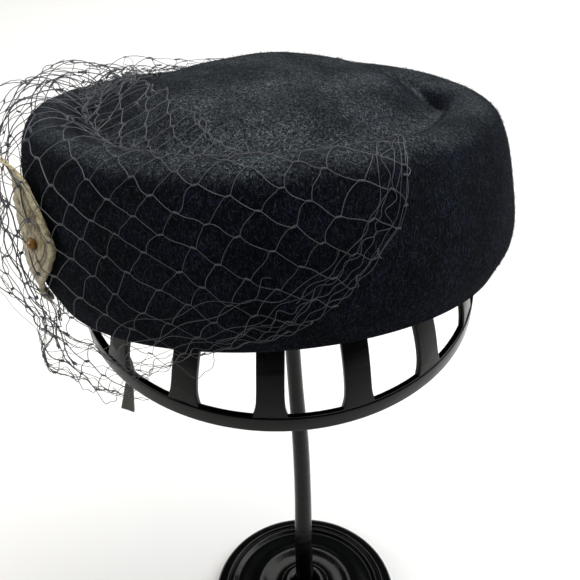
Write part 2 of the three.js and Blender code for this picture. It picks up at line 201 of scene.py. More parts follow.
# The stand: a turned foot, a bowed stem, and a slatted dome that the hat sits on.
STAND = {
    "dome_centre": (-14.0, 5.0),
    "ring_bottom": 245.0,
    "ring_height": 8.0,
    "ring_radius": 86.5,
    "ring_thickness": 3.2,
    "dome_radius": 86.3,
    "dome_height": 90.0,
    "rib_count": 15,
    "rib_width": 11.0,
    "rib_thickness": 2.6,
    "first_rib": math.radians(-91.6),
    "cap_radius": 30.0,
}
STEM_STATIONS = table("x y z radius", [
    (0, 0, 14.5, 5.0),
    (-1.2, 0.4, 55, 4.8),
    (-1.9, 1.1, 98, 4.4),
    (-3.4, 1.9, 140, 4.2),
    (-6.0, 2.8, 180, 3.7),
    (-9.0, 3.8, 235, 3.5),
    (-12.2, 4.6, 295, 3.5),
    (-14, 5, 331.8, 3.5),
])
FOOT_PROFILE = table("place r z", [
    ("underside", 50.2, 0),
    ("rim_low", 51.6, 1.6),
    ("rim", 52, 4.6),
    ("rim_high", 51, 7.4),
    ("rim_top", 48.4, 9),
    ("outer_groove_edge", 45.6, 9.6),
    ("outer_groove", 44.6, 8.6),
    ("between_grooves", 42.4, 10.2),
    ("inner_groove", 39.6, 9.2),
    ("inner_groove_edge", 38.2, 10.8),
    ("plate", 31, 12),
    ("wave_crest", 26.5, 13.6),
    ("wave_foot", 21, 12.6),
    ("collar_foot", 15, 13.2),
    ("collar", 13.6, 16.8),
    ("collar_top", 10.6, 18.6),
    ("socket_edge", 5.6, 18.6),
    ("socket_floor", 5.6, 14),
])

# ---- curves and surfaces ----------------------------------------------------------------------


def column(table, key):
    return np.array([row[key] for row in table], float)


def curve_between(a, b, c, d, t):
    """The Catmull-Rom curve from b to c, t of the way along; a comes before them and d after."""
    square = 2 * a - 5 * b + 4 * c - d
    cube = 3 * b - a - 3 * c + d
    return 0.5 * (2 * b + (c - a) * t + square * t**2 + cube * t**3)


def catmull_rom(values, place):
    """A smooth curve through values at places 0, 1, 2 and on."""
    last = len(values) - 1
    index = np.clip(np.floor(place).astype(int), 0, last - 1)
    t = place - index
    ends = [2 * values[0] - values[1]], [2 * values[last] - values[last - 1]]
    padded = np.concatenate([ends[0], values, ends[1]])
    if values.ndim > 1:
        t = t[..., None]
    return curve_between(*(padded[index + k] for k in range(4)), t)


def smoothstep(low, high, value):
    t = np.clip((value - low) / (high - low), 0, 1)
    return t * t * (3 - 2 * t)


def unit(vectors):
    return vectors / np.maximum(np.linalg.norm(vectors, axis=-1, keepdims=True), 1e-9)


class Ripples:
    """A smooth random field: waves of about one length, in seeded random directions."""

    def __init__(self, seed, wavelength, axes=3, count=9):
        random = np.random.default_rng(seed)
        heading = unit(random.normal(size=(count, axes)))
        self.waves = heading * (TURN / wavelength / random.uniform(0.7, 1.5, (count, 1)))
        self.phases = random.uniform(0, TURN, count)
        self.scale = math.sqrt(2 / count)

    def __call__(self, points):
        return np.sin(points @ self.waves.T + self.phases).sum(-1) * self.scale / 2


FELT_WAVES = Ripples(11, 62)
FELT_LUMPS = Ripples(12, 24)
WAVE_HEIGHT = 0.55
LUMP_HEIGHT = 0.22


def at_angle(columns, angle):
    """The right, far, left and near columns mixed by the angle round the hat."""
    c, s = np.cos(angle), np.sin(angle)
    shares = np.stack([np.maximum(c, 0), np.maximum(s, 0), np.maximum(-c, 0), np.maximum(-s, 0)])
    return np.moveaxis(shares**2, 0, -1) @ np.asarray(columns, float).T


def outline_radius(angle):
    return 1 / np.hypot(np.cos(angle) / HAT["half_length"], np.sin(angle) / HAT["half_width"])


def read_stations(key, place, angle):
    """A felt measure at station places; past the crown's centre the curve turns back on itself."""
    values = at_angle([station[key] for station in FELT_STATIONS], angle)
    values = np.moveaxis(values, -1, 0)
    index = np.clip(np.floor(place).astype(int), 0, CROWN_TOP - 1)
    padded = np.concatenate([[2 * values[0] - values[1]], values, [values[CROWN_TOP - 1]]])
    near = (np.take_along_axis(padded, (index + k)[None], 0)[0] for k in range(4))
    return curve_between(*near, place - index)


def felt_point(place, angle):
    """The felt's outer side in the hat's frame."""
    place, angle = np.broadcast_arrays(np.asarray(place, float), np.asarray(angle, float))
    radius = read_stations("reach", place, angle) * outline_radius(angle)
    height = read_stations("height", place, angle)
    for dent in FELT_DENTS:
        along = (place - dent["place"]) / dent["along"]
        turned = angle - math.radians(dent["angle"])
        turned = np.arctan2(np.sin(turned), np.cos(turned)) / math.radians(dent["round"])
        height = height - dent["depth"] * np.exp(-(along**2) - turned**2)
    return np.stack([radius * np.cos(angle), radius * np.sin(angle), height], -1)


def felt_normal(place, angle):
    place, angle = np.broadcast_arrays(np.asarray(place, float), np.asarray(angle, float))
    step = 0.02
    low = np.clip(place - step, 0, CROWN_TOP - 4 * step)
    high = np.clip(place + step, 2 * step, CROWN_TOP - 2 * step)
    up = felt_point(high, angle) - felt_point(low, angle)
    round_hat = felt_point(low, angle + step) - felt_point(low, angle - step)
    return unit(np.cross(round_hat, up))


def off_felt(place, angle, distance):
    """Points that stand off the felt, with the felt's own soft unevenness in them."""
    point = felt_point(place, angle)
    uneven = WAVE_HEIGHT * FELT_WAVES(point) + LUMP_HEIGHT * FELT_LUMPS(point)
    uneven = uneven * smoothstep(0.3, 1.6, np.asarray(place, float) + 0 * point[..., 0])
    return point + felt_normal(place, angle) * (np.asarray(distance) + uneven)[..., None]


def hat_to_world(points):
    x, y, z = np.moveaxis(np.asarray(points, float), -1, 0)
    ct, st = math.cos(HAT["tilt"]), math.sin(HAT["tilt"])
    cl, sl = math.cos(HAT["lean"]), math.sin(HAT["lean"])
    y, z = y * ct - z * st, y * st + z * ct
    x, z = x * cl + z * sl, -x * sl + z * cl
    return np.stack([x, y, z], -1) + np.array(HAT["centre"])


class RiseTable:
    """Turns a way up the felt from the hem, in millimetres, into a station place."""

    def __init__(self):
        self.places = np.linspace(0, CROWN_TOP, 401)
        self.angles = np.radians(np.arange(0, 361, 5))
        points = felt_point(self.places[None, :], self.angles[:, None])
        steps = np.linalg.norm(np.diff(points, axis=1), axis=-1)
        start = np.zeros((len(self.angles), 1))
        self.rises = np.concatenate([start, np.cumsum(steps, axis=1)], axis=1)

    def place(self, rise, angle):
        turns = np.mod(angle, TURN) / self.angles[1]
        low = np.floor(turns).astype(int)
        t = turns - low
        result = np.empty(len(rise))
        for i, (k, part) in enumerate(zip(low, t)):
            row = self.rises[k] * (1 - part) + self.rises[k + 1] * part
            result[i] = np.interp(rise[i], row, self.places)
        return result


RISES = RiseTable()

# ---- mesh and node helpers --------------------------------------------------------------------


def grid_faces(rows, columns, wraps, first=0):
    """Quads of a grid of points, row by row; with wraps, its last column joins its first."""
    i = np.arange(columns if wraps else columns - 1)
    j = (i + 1) % columns
    k = np.arange(rows - 1)[:, None] * columns
    quads = np.stack([k + i, k + j, k + columns + j, k + columns + i], -1)
    return (quads.reshape(-1, 4) + first).tolist()


def fan(ring, pole):
    """Triangles from a closed ring of point numbers to a pole."""
    return [[a, b, pole] for a, b in zip(ring, np.roll(ring, -1))]


def capped_rings(rows, sides):
    """Faces of a stack of rings that ends in two poles, which are numbered after the rings."""
    faces = grid_faces(rows, sides, True)
    faces += fan(np.arange(sides)[::-1], rows * sides)
    faces += fan((rows - 1) * sides + np.arange(sides), rows * sides + 1)
    return faces


def place_object(name, data):
    """A new object with this data, linked to the scene."""
    made = bpy.data.objects.new(name, data)
    bpy.context.scene.collection.objects.link(made)
    return made


def mesh_object(name, points, faces, material, smooth=True, edges=()):
    """A piece at the origin from points in millimetres, with its faces turned outwards."""
    mesh = bpy.data.meshes.new(name)
    mesh.from_pydata((np.asarray(points) * MM).tolist(), list(edges), faces)
    if len(faces):
        shape = bmesh.new()
        shape.from_mesh(mesh)
        bmesh.ops.recalc_face_normals(shape, faces=shape.faces)
        shape.to_mesh(mesh)
        shape.free()
        mesh.polygons.foreach_set("use_smooth", [smooth] * len(mesh.polygons))
    if material is not None:
        mesh.materials.append(material)
    return place_object(name, mesh)

# The crease colour paints shade into the leaf's creases, and also colours its vein pattern.

def tube(centres, radii, sides, across=None):
    """A closed tube's points and faces along centres; across turns its first corner."""
    centres = np.asarray(centres, float)
    forward = unit(np.gradient(centres, axis=0))
    reference = np.array([0.0, 0.0, 1.0] if across is None else across)
    side = unit(np.cross(forward, reference))
    lift = np.cross(side, forward)
    turn = np.arange(sides) / sides * TURN
    ring = side[:, None] * np.cos(turn)[None, :, None] + lift[:, None] * np.sin(turn)[None, :, None]
    points = centres[:, None] + ring * np.asarray(radii, float).reshape(-1, 1, 1)
    points = np.concatenate([points.reshape(-1, 3), centres[:1], centres[-1:]])
    return points, capped_rings(len(centres), sides)


def join(parts):
    """Several (points, faces) in one."""
    points, faces, count = [], [], 0
    for part_points, part_faces in parts:
        points.append(part_points)
        faces += [[i + count for i in face] for face in part_faces]
        count += len(part_points)
    return np.concatenate(points), faces


def hex_colour(text):
    """A linear RGBA colour from an sRGB hex value such as #1a2b3c."""
    shares = [int(text[i : i + 2], 16) / 255 for i in (1, 3, 5)]
    linear = [c / 12.92 if c <= 0.04045 else ((c + 0.055) / 1.055) ** 2.4 for c in shares]
    return (*linear, 1.0)


def colour_setting(name, description, colour):
    return bpy.props.FloatVectorProperty(
        name=name, description=description, default=hex_colour(colour)[:3], subtype="COLOR",
        min=0, max=1,
    )


def length_setting(name, description, millimetres):
    return bpy.props.FloatProperty(
        name=name, description=description, default=millimetres * MM, subtype="DISTANCE",
        unit="LENGTH",
    )


def add(tree, kind, settings=None, inputs=None):
    """Adds a node, sets its own settings, and gives each named input a value or a link."""
    made = tree.nodes.new(kind)
    for name, value in (settings or {}).items():
        setattr(made, name, value)
    for key, value in (inputs or {}).items():
        if isinstance(value, bpy.types.NodeSocket):
            tree.links.new(value, made.inputs[key])
        else:
            made.inputs[key].default_value = value
    return made


def start_material(name, shader_values):
    """A new material whose shader has these constants on its own sockets."""
    material = bpy.data.materials.new(name)
    material.use_nodes = True
    tree = material.node_tree
    shader = tree.nodes["Principled BSDF"]
    for key, value in shader_values.items():
        shader.inputs[key].default_value = value
    return material, tree, shader


def ramp(tree, factor, stops):
    """A colour ramp through (position, hex colour) stops."""
    made = add(tree, "ShaderNodeValToRGB", inputs={"Fac": factor})
    elements = made.color_ramp.elements
    while len(elements) < len(stops):
        elements.new(0.5)
    for element, (position, colour) in zip(elements, stops):
        element.position = position
        element.color = hex_colour(colour)
    return made.outputs["Color"]


def mix_colours(tree, factor, low, high, blend="MIX"):
    settings = {"data_type": "RGBA", "blend_type": blend}
    made = add(tree, "ShaderNodeMix", settings, {0: factor, 6: low, 7: high})
    return made.outputs[2]


def maths(tree, operation, *values):
    made = add(tree, "ShaderNodeMath", {"operation": operation}, dict(enumerate(values)))
    return made.outputs[0]


def noise(tree, place, size, detail=3.0, roughness=0.55, distortion=0.0):
    """Noise whose lumps are about size millimetres across; size may differ along X, Y and Z."""
    sizes = size if isinstance(size, tuple) else (size, size, size)
    scale = tuple(1 / (s * MM) for s in sizes)
    fitted = add(tree, "ShaderNodeMapping", inputs={"Vector": place, "Scale": scale})
    values = {"Vector": fitted.outputs[0], "Scale": 1.0, "Detail": detail}
    values.update({"Roughness": roughness, "Distortion": distortion})
    return add(tree, "ShaderNodeTexNoise", inputs=values).outputs["Fac"]


def cells(tree, place, size, feature="F1"):
    """Voronoi cells about size millimetres across."""
    values = {"Vector": place, "Scale": 1 / (size * MM)}
    return add(tree, "ShaderNodeTexVoronoi", {"feature": feature}, values).outputs["Distance"]


def bump(tree, shader, height, depth, normal=None):
    """Bumps of a depth in millimetres under the shader's surface."""
    values = {"Height": height, "Distance": depth * MM, "Strength": 1.0}
    if normal is not None:
        values["Normal"] = normal
    made = add(tree, "ShaderNodeBump", inputs=values)
    tree.links.new(made.outputs[0], shader.inputs["Normal"])
    return made.outputs[0]


def attribute(tree, name):
    return add(tree, "ShaderNodeAttribute", {"attribute_name": name}).outputs["Fac"]


def object_place(tree):
    return add(tree, "ShaderNodeTexCoord").outputs["Object"]


def hat_place(tree):
    """Object coordinates turned back into the hat's own frame."""
    values = {
        "Vector": object_place(tree),
        "Center": tuple(v * MM for v in HAT["centre"]),
        "Rotation": (HAT["tilt"], HAT["lean"], 0.0),
    }
    settings = {"rotation_type": "EULER_XYZ", "invert": True}
    return add(tree, "ShaderNodeVectorRotate", settings, values).outputs[0]


# ---- materials --------------------------------------------------------------------------------


def brushed_wool_felt(colour):
    """Brushed wool felt: a blue-black wall, and a greyer rim and crown whose upward faces are paled
    partly by dust and partly by painted light from above, all softly furry.

    The fur pattern's streaks are about 0.8 mm wide, coarser than real hairs, so that they show.
    """
    material, tree, shader = start_material(
        "brushed_wool_felt",
        {
            "Roughness": 1.0,
            "Specular IOR Level": 0.03,
            "Sheen Weight": 0.05,
            "Sheen Roughness": 0.5,
            "Sheen Tint": hex_colour("#a9b0a4"),
        },
    )
    place = hat_place(tree)
    fur = noise(tree, place, (0.8, 0.8, 2.2), 5.0, 0.7, 1.2)
    tufts = noise(tree, place, (2.4, 2.4, 3.6), 4.0, 0.65, 1.0)
    blotches = noise(tree, place, 21.0, 3.0)
    lint = cells(tree, place, 2.2)
    # Painted light and dust: faces that turn up are mixed towards a paler grey, as if lit from
    # above.
    facing = add(tree, "ShaderNodeTexCoord").outputs["Normal"]
    upward = add(tree, "ShaderNodeSeparateXYZ", inputs={0: facing}).outputs["Z"]
    uneven = maths(tree, "MULTIPLY_ADD", tufts, 0.3, -0.15)
    upward = maths(tree, "ADD", upward, uneven)
    top_values = {0: upward, 1: 0.66, 2: 1.08}
    top = add(tree, "ShaderNodeMapRange", {"interpolation_type": "SMOOTHSTEP"}, top_values)
    wall = ramp(tree, fur, [(0.36, "#020308"), (0.5, "#090c18"), (0.64, "#2b3246")])
    dust_and_top_light = ramp(tree, fur, [(0.36, "#0a0d11"), (0.5, "#262b31"), (0.64, "#7f868a")])
    body = mix_colours(tree, top.outputs[0], wall, dust_and_top_light)
    shade = ramp(tree, blotches, [(0.35, "#7c7c80"), (0.65, "#ffffff")])
    body = mix_colours(tree, 0.8, body, shade, "MULTIPLY")
    tinted = mix_colours(tree, 1.0, body, colour, "ADD")
    flecks = maths(tree, "LESS_THAN", lint, 0.05)
    some = maths(tree, "GREATER_THAN", noise(tree, place, 3.0), 0.66)
    flecks = maths(tree, "MULTIPLY", maths(tree, "MULTIPLY", flecks, some), 0.4)
    final = mix_colours(tree, flecks, tinted, hex_colour("#6d706c"))
    tree.links.new(final, shader.inputs["Base Color"])
    height = maths(tree, "ADD", fur, tufts)
    bump(tree, shader, height, 1.3)
    return material


def wool_hair(colour):
    """Single wool hairs that stand out of the felt: dark, and paler from place to place."""
    values = {"Roughness": 0.8, "Specular IOR Level": 0.1}
    material, tree, shader = start_material("wool_hair", values)
    shade = noise(tree, object_place(tree), 1.6, 1.0)
    dark = mix_colours(tree, shade, hex_colour("#060708"), colour)
    tree.links.new(dark, shader.inputs["Base Color"])
    return material


def rayon_thread(colour):
    """Dyed rayon net thread: grey-black, worn paler in places, with the bumps of its twist."""
    values = {"Roughness": 0.42, "Specular IOR Level": 0.35}
    material, tree, shader = start_material("rayon_thread", values)
    place = object_place(tree)
    twist = noise(tree, place, (0.5, 0.5, 0.9), 2.0)
    worn = noise(tree, place, 9.0, 2.0)
    shade = mix_colours(tree, worn, hex_colour("#3a3b40"), colour)
    tree.links.new(shade, shader.inputs["Base Color"])
    bump(tree, shader, twist, 0.08)
    return material


def crinkled_leather(colour, crease_colour):
    """Thin tan leather, wetted and dried over a form: pale puffed lobes, with painted shade
    darkening its creases and the hollows of its wrinkles.
    """
    values = {"Specular IOR Level": 0.45, "Coat Weight": 0.12, "Coat Roughness": 0.3}
    material, tree, shader = start_material("crinkled_leather", values)
    place = object_place(tree)
    crease = attribute(tree, "crease")
    hem = attribute(tree, "hem")
    stains = noise(tree, place, 7.0, 4.0, 0.6, 0.5)
    grain = cells(tree, place, 0.9, "DISTANCE_TO_EDGE")
    wrinkles = noise(tree, place, (1.5, 1.5, 4.0), 4.0, 0.6, 1.2)
    body = ramp(tree, stains, [(0.32, "#7d6e49"), (0.5, "#b3a781"), (0.66, "#d9d0ac")])
    body = mix_colours(tree, 0.45, body, colour)
    body = mix_colours(tree, maths(tree, "MULTIPLY", hem, 0.7), body, hex_colour("#b9b08e"))
    # Painted shade: darker in the troughs of the wrinkle noise, which also sets the bump.
    fine = ramp(tree, wrinkles, [(0.36, "#7a6a45"), (0.5, "#ffffff")])
    body = mix_colours(tree, 0.8, body, fine, "MULTIPLY")
    borders = cells(tree, place, 4.2, "DISTANCE_TO_EDGE")
    veins = ramp(tree, borders, [(0.0, "#ffffff"), (0.09, "#000000")])
    body = mix_colours(tree, maths(tree, "MULTIPLY", veins, 0.5), body, crease_colour)
    # Painted shade along the creases that the leaf's shape presses in.
    body = mix_colours(tree, crease, body, crease_colour)
    tree.links.new(body, shader.inputs["Base Color"])
    gloss = maths(tree, "MULTIPLY_ADD", wrinkles, 0.35, 0.3)
    tree.links.new(gloss, shader.inputs["Roughness"])
    fine_height = maths(tree, "MULTIPLY_ADD", grain, 0.25, wrinkles)
    bump(tree, shader, fine_height, 0.7)
    return material


def amber_glass(colour):
    """A pressed glass bead: clear amber with deeper swirls, and a hard white glint."""
    values = {"Roughness": 0.06, "IOR": 1.54, "Coat Weight": 0.5, "Coat Roughness": 0.04}
    values["Transmission Weight"] = 0.35
    material, tree, shader = start_material("amber_glass", values)
    swirl = noise(tree, object_place(tree), (2.4, 2.4, 1.2), 2.0, 0.5, 1.5)
    shade = mix_colours(tree, swirl, colour, hex_colour("#6a3a0c"))
    tree.links.new(shade, shader.inputs["Base Color"])
    return material


def dark_leather(colour):
    """A cut strip of dark leather: smooth olive-brown faces and paler raw edges."""
    material, tree, shader = start_material("dark_leather", {"Roughness": 0.5, "Coat Weight": 0.1})
    place = object_place(tree)
    hem = attribute(tree, "hem")
    stains = noise(tree, place, 4.0, 3.0)
    shade = mix_colours(tree, stains, colour, hex_colour("#0e0c07"))
    shade = mix_colours(tree, maths(tree, "MULTIPLY", hem, 0.6), shade, hex_colour("#6e6446"))
    tree.links.new(shade, shader.inputs["Base Color"])
    bump(tree, shader, cells(tree, place, 0.7, "DISTANCE_TO_EDGE"), 0.12)
    return material


def moulded_plastic(colour, name="moulded_black_plastic", gloss=0.2):
    """Injection-moulded polystyrene: deep black gloss with faint flow waves, dust and rub marks."""
    values = {"Specular IOR Level": 0.16, "IOR": 1.5}
    material, tree, shader = start_material(name, values)
    place = object_place(tree)
    flow = noise(tree, place, (14.0, 14.0, 9.0), 3.0, 0.5, 0.4)
    dust = noise(tree, place, 0.9, 2.0, 0.7)
    rubs = noise(tree, place, (6.0, 6.0, 1.2), 4.0, 0.7)
    dust_mask = ramp(tree, dust, [(0.62, "#000000"), (0.8, "#08090a")])
    shade = mix_colours(tree, 1.0, colour, dust_mask, "ADD")
    tree.links.new(shade, shader.inputs["Base Color"])
    rough = maths(tree, "MULTIPLY_ADD", rubs, 0.12, gloss - 0.1)
    rough = maths(tree, "MULTIPLY_ADD", dust, 0.08, rough)
    tree.links.new(rough, shader.inputs["Roughness"])
    bump(tree, shader, flow, 0.3)
    return material


def matt_card(colour):
    """Seamless background card: pale, with a very fine paper tooth."""
    material, tree, shader = start_material("matt_card", {"Roughness": 0.85})
    place = object_place(tree)
    mottle = noise(tree, place, 60.0, 3.0)
    shade = mix_colours(tree, maths(tree, "MULTIPLY", mottle, 0.06), colour, hex_colour("#dcdcda"))
    tree.links.new(shade, shader.inputs["Base Color"])
    bump(tree, shader, noise(tree, place, 1.2, 2.0), 0.05)
    return material


# ---- geometry node trees ----------------------------------------------------------------------


def new_tree(name, sockets):
    """A geometry node tree with a geometry input, these named inputs, and a geometry output."""
    tree = bpy.data.node_groups.new(name, "GeometryNodeTree")
    face = tree.interface
    face.new_socket(name="Geometry", in_out="INPUT", socket_type="NodeSocketGeometry")
    for label, kind in sockets:
        face.new_socket(name=label, in_out="INPUT", socket_type=kind)
    face.new_socket(name="Geometry", in_out="OUTPUT", socket_type="NodeSocketGeometry")
    source = tree.nodes.new("NodeGroupInput")
    return tree, source


def end_tree(tree, source, geometry):
    """Ends a tree in Realize Instances and Set Material."""
    real = add(tree, "GeometryNodeRealizeInstances", inputs={"Geometry": geometry})
    values = {"Geometry": real.outputs[0], "Material": source.outputs["Material"]}
    finished = add(tree, "GeometryNodeSetMaterial", inputs=values)
    add(tree, "NodeGroupOutput", inputs={"Geometry": finished.outputs[0]})


def evaluated_piece(name, carrier, tree, values):
    """The plain mesh that a tree makes on a carrier object, which is then removed."""
    modifier = carrier.modifiers.new("shape", "NODES")
    modifier.node_group = tree
    for item in tree.interface.items_tree:
        if item.in_out == "INPUT" and item.name in values:
            modifier[item.identifier] = values[item.name]
    graph = bpy.context.evaluated_depsgraph_get()
    mesh = bpy.data.meshes.new_from_object(carrier.evaluated_get(graph))
    mesh.name = name
    bpy.data.objects.remove(carrier)
    if not mesh.polygons:
        raise RuntimeError(f"{name}: its node tree made no faces")
    return place_object(name, mesh)


def thread_tree():
    """Round threads along every chain of edges, with a knot on each point marked as one."""
    sockets = [
        ("Radius", "NodeSocketFloat"),
        ("Sides", "NodeSocketInt"),
        ("Knot", "NodeSocketObject"),
        ("Material", "NodeSocketMaterial"),
    ]
    tree, source = new_tree("net_threads", sockets)
    named = "GeometryNodeInputNamedAttribute"
    thickness = add(tree, named, {"data_type": "FLOAT"}, {"Name": "thickness"}).outputs[0]
    knotted = add(tree, named, {"data_type": "BOOLEAN"}, {"Name": "knot"}).outputs[0]
    along = add(tree, named, {"data_type": "FLOAT_VECTOR"}, {"Name": "along"}).outputs[0]
    out = add(tree, named, {"data_type": "FLOAT_VECTOR"}, {"Name": "out"}).outputs[0]
    curves = add(tree, "GeometryNodeMeshToCurve", inputs={"Mesh": source.outputs["Geometry"]})
    ring_values = {"Resolution": source.outputs["Sides"], "Radius": source.outputs["Radius"]}
    ring = add(tree, "GeometryNodeCurvePrimitiveCircle", inputs=ring_values)
    sweep = {
        "Curve": curves.outputs[0],
        "Profile Curve": ring.outputs[0],
        "Scale": thickness,
        "Fill Caps": True,
    }
    threads = add(tree, "GeometryNodeCurveToMesh", inputs=sweep)
    smooth = {"Geometry": threads.outputs[0], "Shade Smooth": True}
    threads = add(tree, "GeometryNodeSetShadeSmooth", inputs=smooth)
    aim = add(tree, "FunctionNodeAlignRotationToVector", {"axis": "X"}, {"Vector": along})
    settings = {"axis": "Z", "pivot_axis": "X"}
    values = {"Rotation": aim.outputs[0], "Vector": out}
    aim = add(tree, "FunctionNodeAlignRotationToVector", settings, values)
    knot = add(tree, "GeometryNodeObjectInfo", inputs={"Object": source.outputs["Knot"]})
    size = add(tree, "ShaderNodeCombineXYZ", inputs={0: thickness, 1: thickness, 2: thickness})
    placed = {
        "Points": source.outputs["Geometry"],
        "Selection": knotted,
        "Instance": knot.outputs["Geometry"],
        "Rotation": aim.outputs[0],
        "Scale": size.outputs[0],
    }
    knots = add(tree, "GeometryNodeInstanceOnPoints", inputs=placed)
    both = add(tree, "GeometryNodeJoinGeometry")
    tree.links.new(threads.outputs[0], both.inputs[0])
    tree.links.new(knots.outputs[0], both.inputs[0])
    end_tree(tree, source, both.outputs[0])
    return tree


def nap_tree():
    """Short hairs scattered over a surface, each bent over to a seeded random side."""
    sockets = [
        ("Density", "NodeSocketFloat"),
        ("Seed", "NodeSocketInt"),
        ("Lean", "NodeSocketFloat"),
        ("Hair", "NodeSocketObject"),
        ("Material", "NodeSocketMaterial"),
    ]
    tree, source = new_tree("felt_nap", sockets)
    spread = {
        "Mesh": source.outputs["Geometry"],
        "Density": source.outputs["Density"],
        "Seed": source.outputs["Seed"],
    }
    points = add(tree, "GeometryNodeDistributePointsOnFaces", inputs=spread)
    turn_range = {2: 0.0, 3: TURN, "Seed": source.outputs["Seed"]}
    random = "FunctionNodeRandomValue"
    turn = add(tree, random, {"data_type": "FLOAT"}, turn_range).outputs[1]
    lean_seed = add(tree, "FunctionNodeInputInt", {"integer": 7}).outputs[0]
    most = source.outputs["Lean"]
    lean = add(tree, random, {"data_type": "FLOAT"}, {2: 0.6, 3: most, "Seed": lean_seed})
    euler = add(tree, "ShaderNodeCombineXYZ", inputs={1: lean.outputs[1], 2: turn})
    bend = add(tree, "FunctionNodeEulerToRotation", inputs={0: euler.outputs[0]})
    both = {"Rotation": points.outputs["Rotation"], "Rotate By": bend.outputs[0]}
    turned = add(tree, "FunctionNodeRotateRotation", {"rotation_space": "LOCAL"}, both)
    size = add(tree, random, {"data_type": "FLOAT"}, {2: 0.55, 3: 1.25, "Seed": 3})
    hair = add(tree, "GeometryNodeObjectInfo", inputs={"Object": source.outputs["Hair"]})
    placed = {
        "Points": points.outputs["Points"],
        "Instance": hair.outputs["Geometry"],
        "Rotation": turned.outputs[0],
        "Scale": size.outputs[1],
    }
    hairs = add(tree, "GeometryNodeInstanceOnPoints", inputs=placed)
    end_tree(tree, source, hairs.outputs[0])
    return tree


def rib_tree():
    """One rib repeated round the stand's dome."""
    sockets = [
        ("Count", "NodeSocketInt"),
        ("First", "NodeSocketFloat"),
        ("Centre", "NodeSocketVector"),
        ("Material", "NodeSocketMaterial"),
    ]
    tree, source = new_tree("dome_ribs", sockets)
    count = source.outputs["Count"]
    line = add(tree, "GeometryNodeMeshLine", inputs={"Count": count, "Offset": (0.0, 0.0, 0.0)})
    index = add(tree, "GeometryNodeInputIndex").outputs[0]
    share = maths(tree, "DIVIDE", index, count)
    turn = maths(tree, "MULTIPLY_ADD", share, TURN, source.outputs["First"])
    euler = add(tree, "ShaderNodeCombineXYZ", inputs={2: turn})
    turned = add(tree, "FunctionNodeEulerToRotation", inputs={0: euler.outputs[0]})
    placed = {
        "Points": line.outputs[0],
        "Instance": source.outputs["Geometry"],
        "Rotation": turned.outputs[0],
    }
    ribs = add(tree, "GeometryNodeInstanceOnPoints", inputs=placed)
    moved = {"Geometry": ribs.outputs[0], "Translation": source.outputs["Centre"]}
    ribs = add(tree, "GeometryNodeTransform", inputs=moved)
    end_tree(tree, source, ribs.outputs[0])
    return tree


# ---- the felt ---------------------------------------------------------------------------------


def felt_shell(rings, segments):
    """The felt's points and faces: both sides of the wool and a rounded hem between them."""
    start = TURN / 4
    angle = start + np.arange(segments) / segments * TURN
    places = np.arange(rings) / rings * CROWN_TOP
    outer = off_felt(places[:, None], angle[None, :], np.zeros((rings, segments)))
    inner_rings = rings // 3
    inner_places = np.arange(inner_rings) / inner_rings * CROWN_TOP
    depth = np.full((inner_rings, segments), -HAT["felt"])
    inner = off_felt(inner_places[:, None], angle[None, :], depth)
    hem_turns = np.radians([36, 72, 108, 144])
    normal = felt_normal(0.0, angle)
    up = unit(felt_point(0.1, angle) - felt_point(0.0, angle))
    half = HAT["felt"] / 2
    middle = off_felt(0.0, angle, np.full(segments, -half))
    hem = [
        middle + normal * (-half * math.cos(t)) - up * (0.7 * half * math.sin(t))
        for t in hem_turns
    ]
    rows = np.concatenate([inner[::-1], np.array(hem), outer])
    top = felt_point(float(CROWN_TOP), 0.0)
    poles = np.array([top - [0, 0, HAT["felt"]], top])
    points = np.concatenate([rows.reshape(-1, 3), poles])
    return hat_to_world(points), capped_rings(len(rows), segments)


class HatFeltSettings(bpy.types.PropertyGroup):
    colour: colour_setting("Felt colour", "Colour added to the black wool", "#020305")
    rings: bpy.props.IntProperty(
        name="Rings", description="Rings of faces from the hem to the crown's centre",
        default=210, min=60, max=400,
    )
    segments: bpy.props.IntProperty(
        name="Segments", description="Faces round the hat", default=320, min=60, max=600,
    )
    hair_colour: colour_setting(
        "Hair colour", "Palest colour of the hairs that stand out of the felt", "#54575a"
    )
    hair_length: length_setting("Hair length", "Length of a hair of the nap", 2.6)
    hair_density: bpy.props.FloatProperty(
        name="Hair density", description="Hairs on a square metre of felt", default=330000.0,
    )


class HAT_OT_felt(bpy.types.Operator):
    """Makes the felt body of the hat, with both its sides and its hem"""

    bl_idname = "hat.felt"
    bl_label = "Felt body"

    def execute(self, context):
        settings = context.scene.hat_felt
        points, faces = felt_shell(settings.rings, settings.segments)
        material = brushed_wool_felt((*settings.colour, 1.0))
        piece = mesh_object("hat_felt", points, faces, material)
        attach(piece, BODY)
        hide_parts("felt_crown")
        return {"FINISHED"}


def hair_template(length, material):
    """One bent hair, rooted at the origin and rising along Z, as a slim closed spike."""
    bend = np.array([[0, 0, 0], [0.16, 0.02, 0.55], [0.48, 0.06, 0.9]]) * length / MM
    corner = np.arange(3) / 3 * TURN
    ring = np.stack([np.cos(corner), np.sin(corner), 0 * corner], -1)
    points = np.concatenate([bend[0] + ring * 0.06, bend[1] + ring * 0.05, bend[2:]])
    faces = [[0, 2, 1], [3, 4, 6], [4, 5, 6], [5, 3, 6]]
    faces += [[i, (i + 1) % 3, 3 + (i + 1) % 3, 3 + i] for i in range(3)]
    return mesh_object("hair_template", points, faces, material)


def felt_carrier(low, high, rings, segments):
    """The bare outer side of the felt between two station places, for hairs to grow on."""
    angle = np.arange(segments) / segments * TURN
    places = np.linspace(low, high, rings)
    points = off_felt(places[:, None], angle[None, :], np.zeros((rings, segments)) - 0.1)
    faces = grid_faces(rings, segments, True)
    mesh = bpy.data.meshes.new("carrier")
    mesh.from_pydata((hat_to_world(points.reshape(-1, 3)) * MM).tolist(), [], faces)
    return place_object("carrier", mesh)


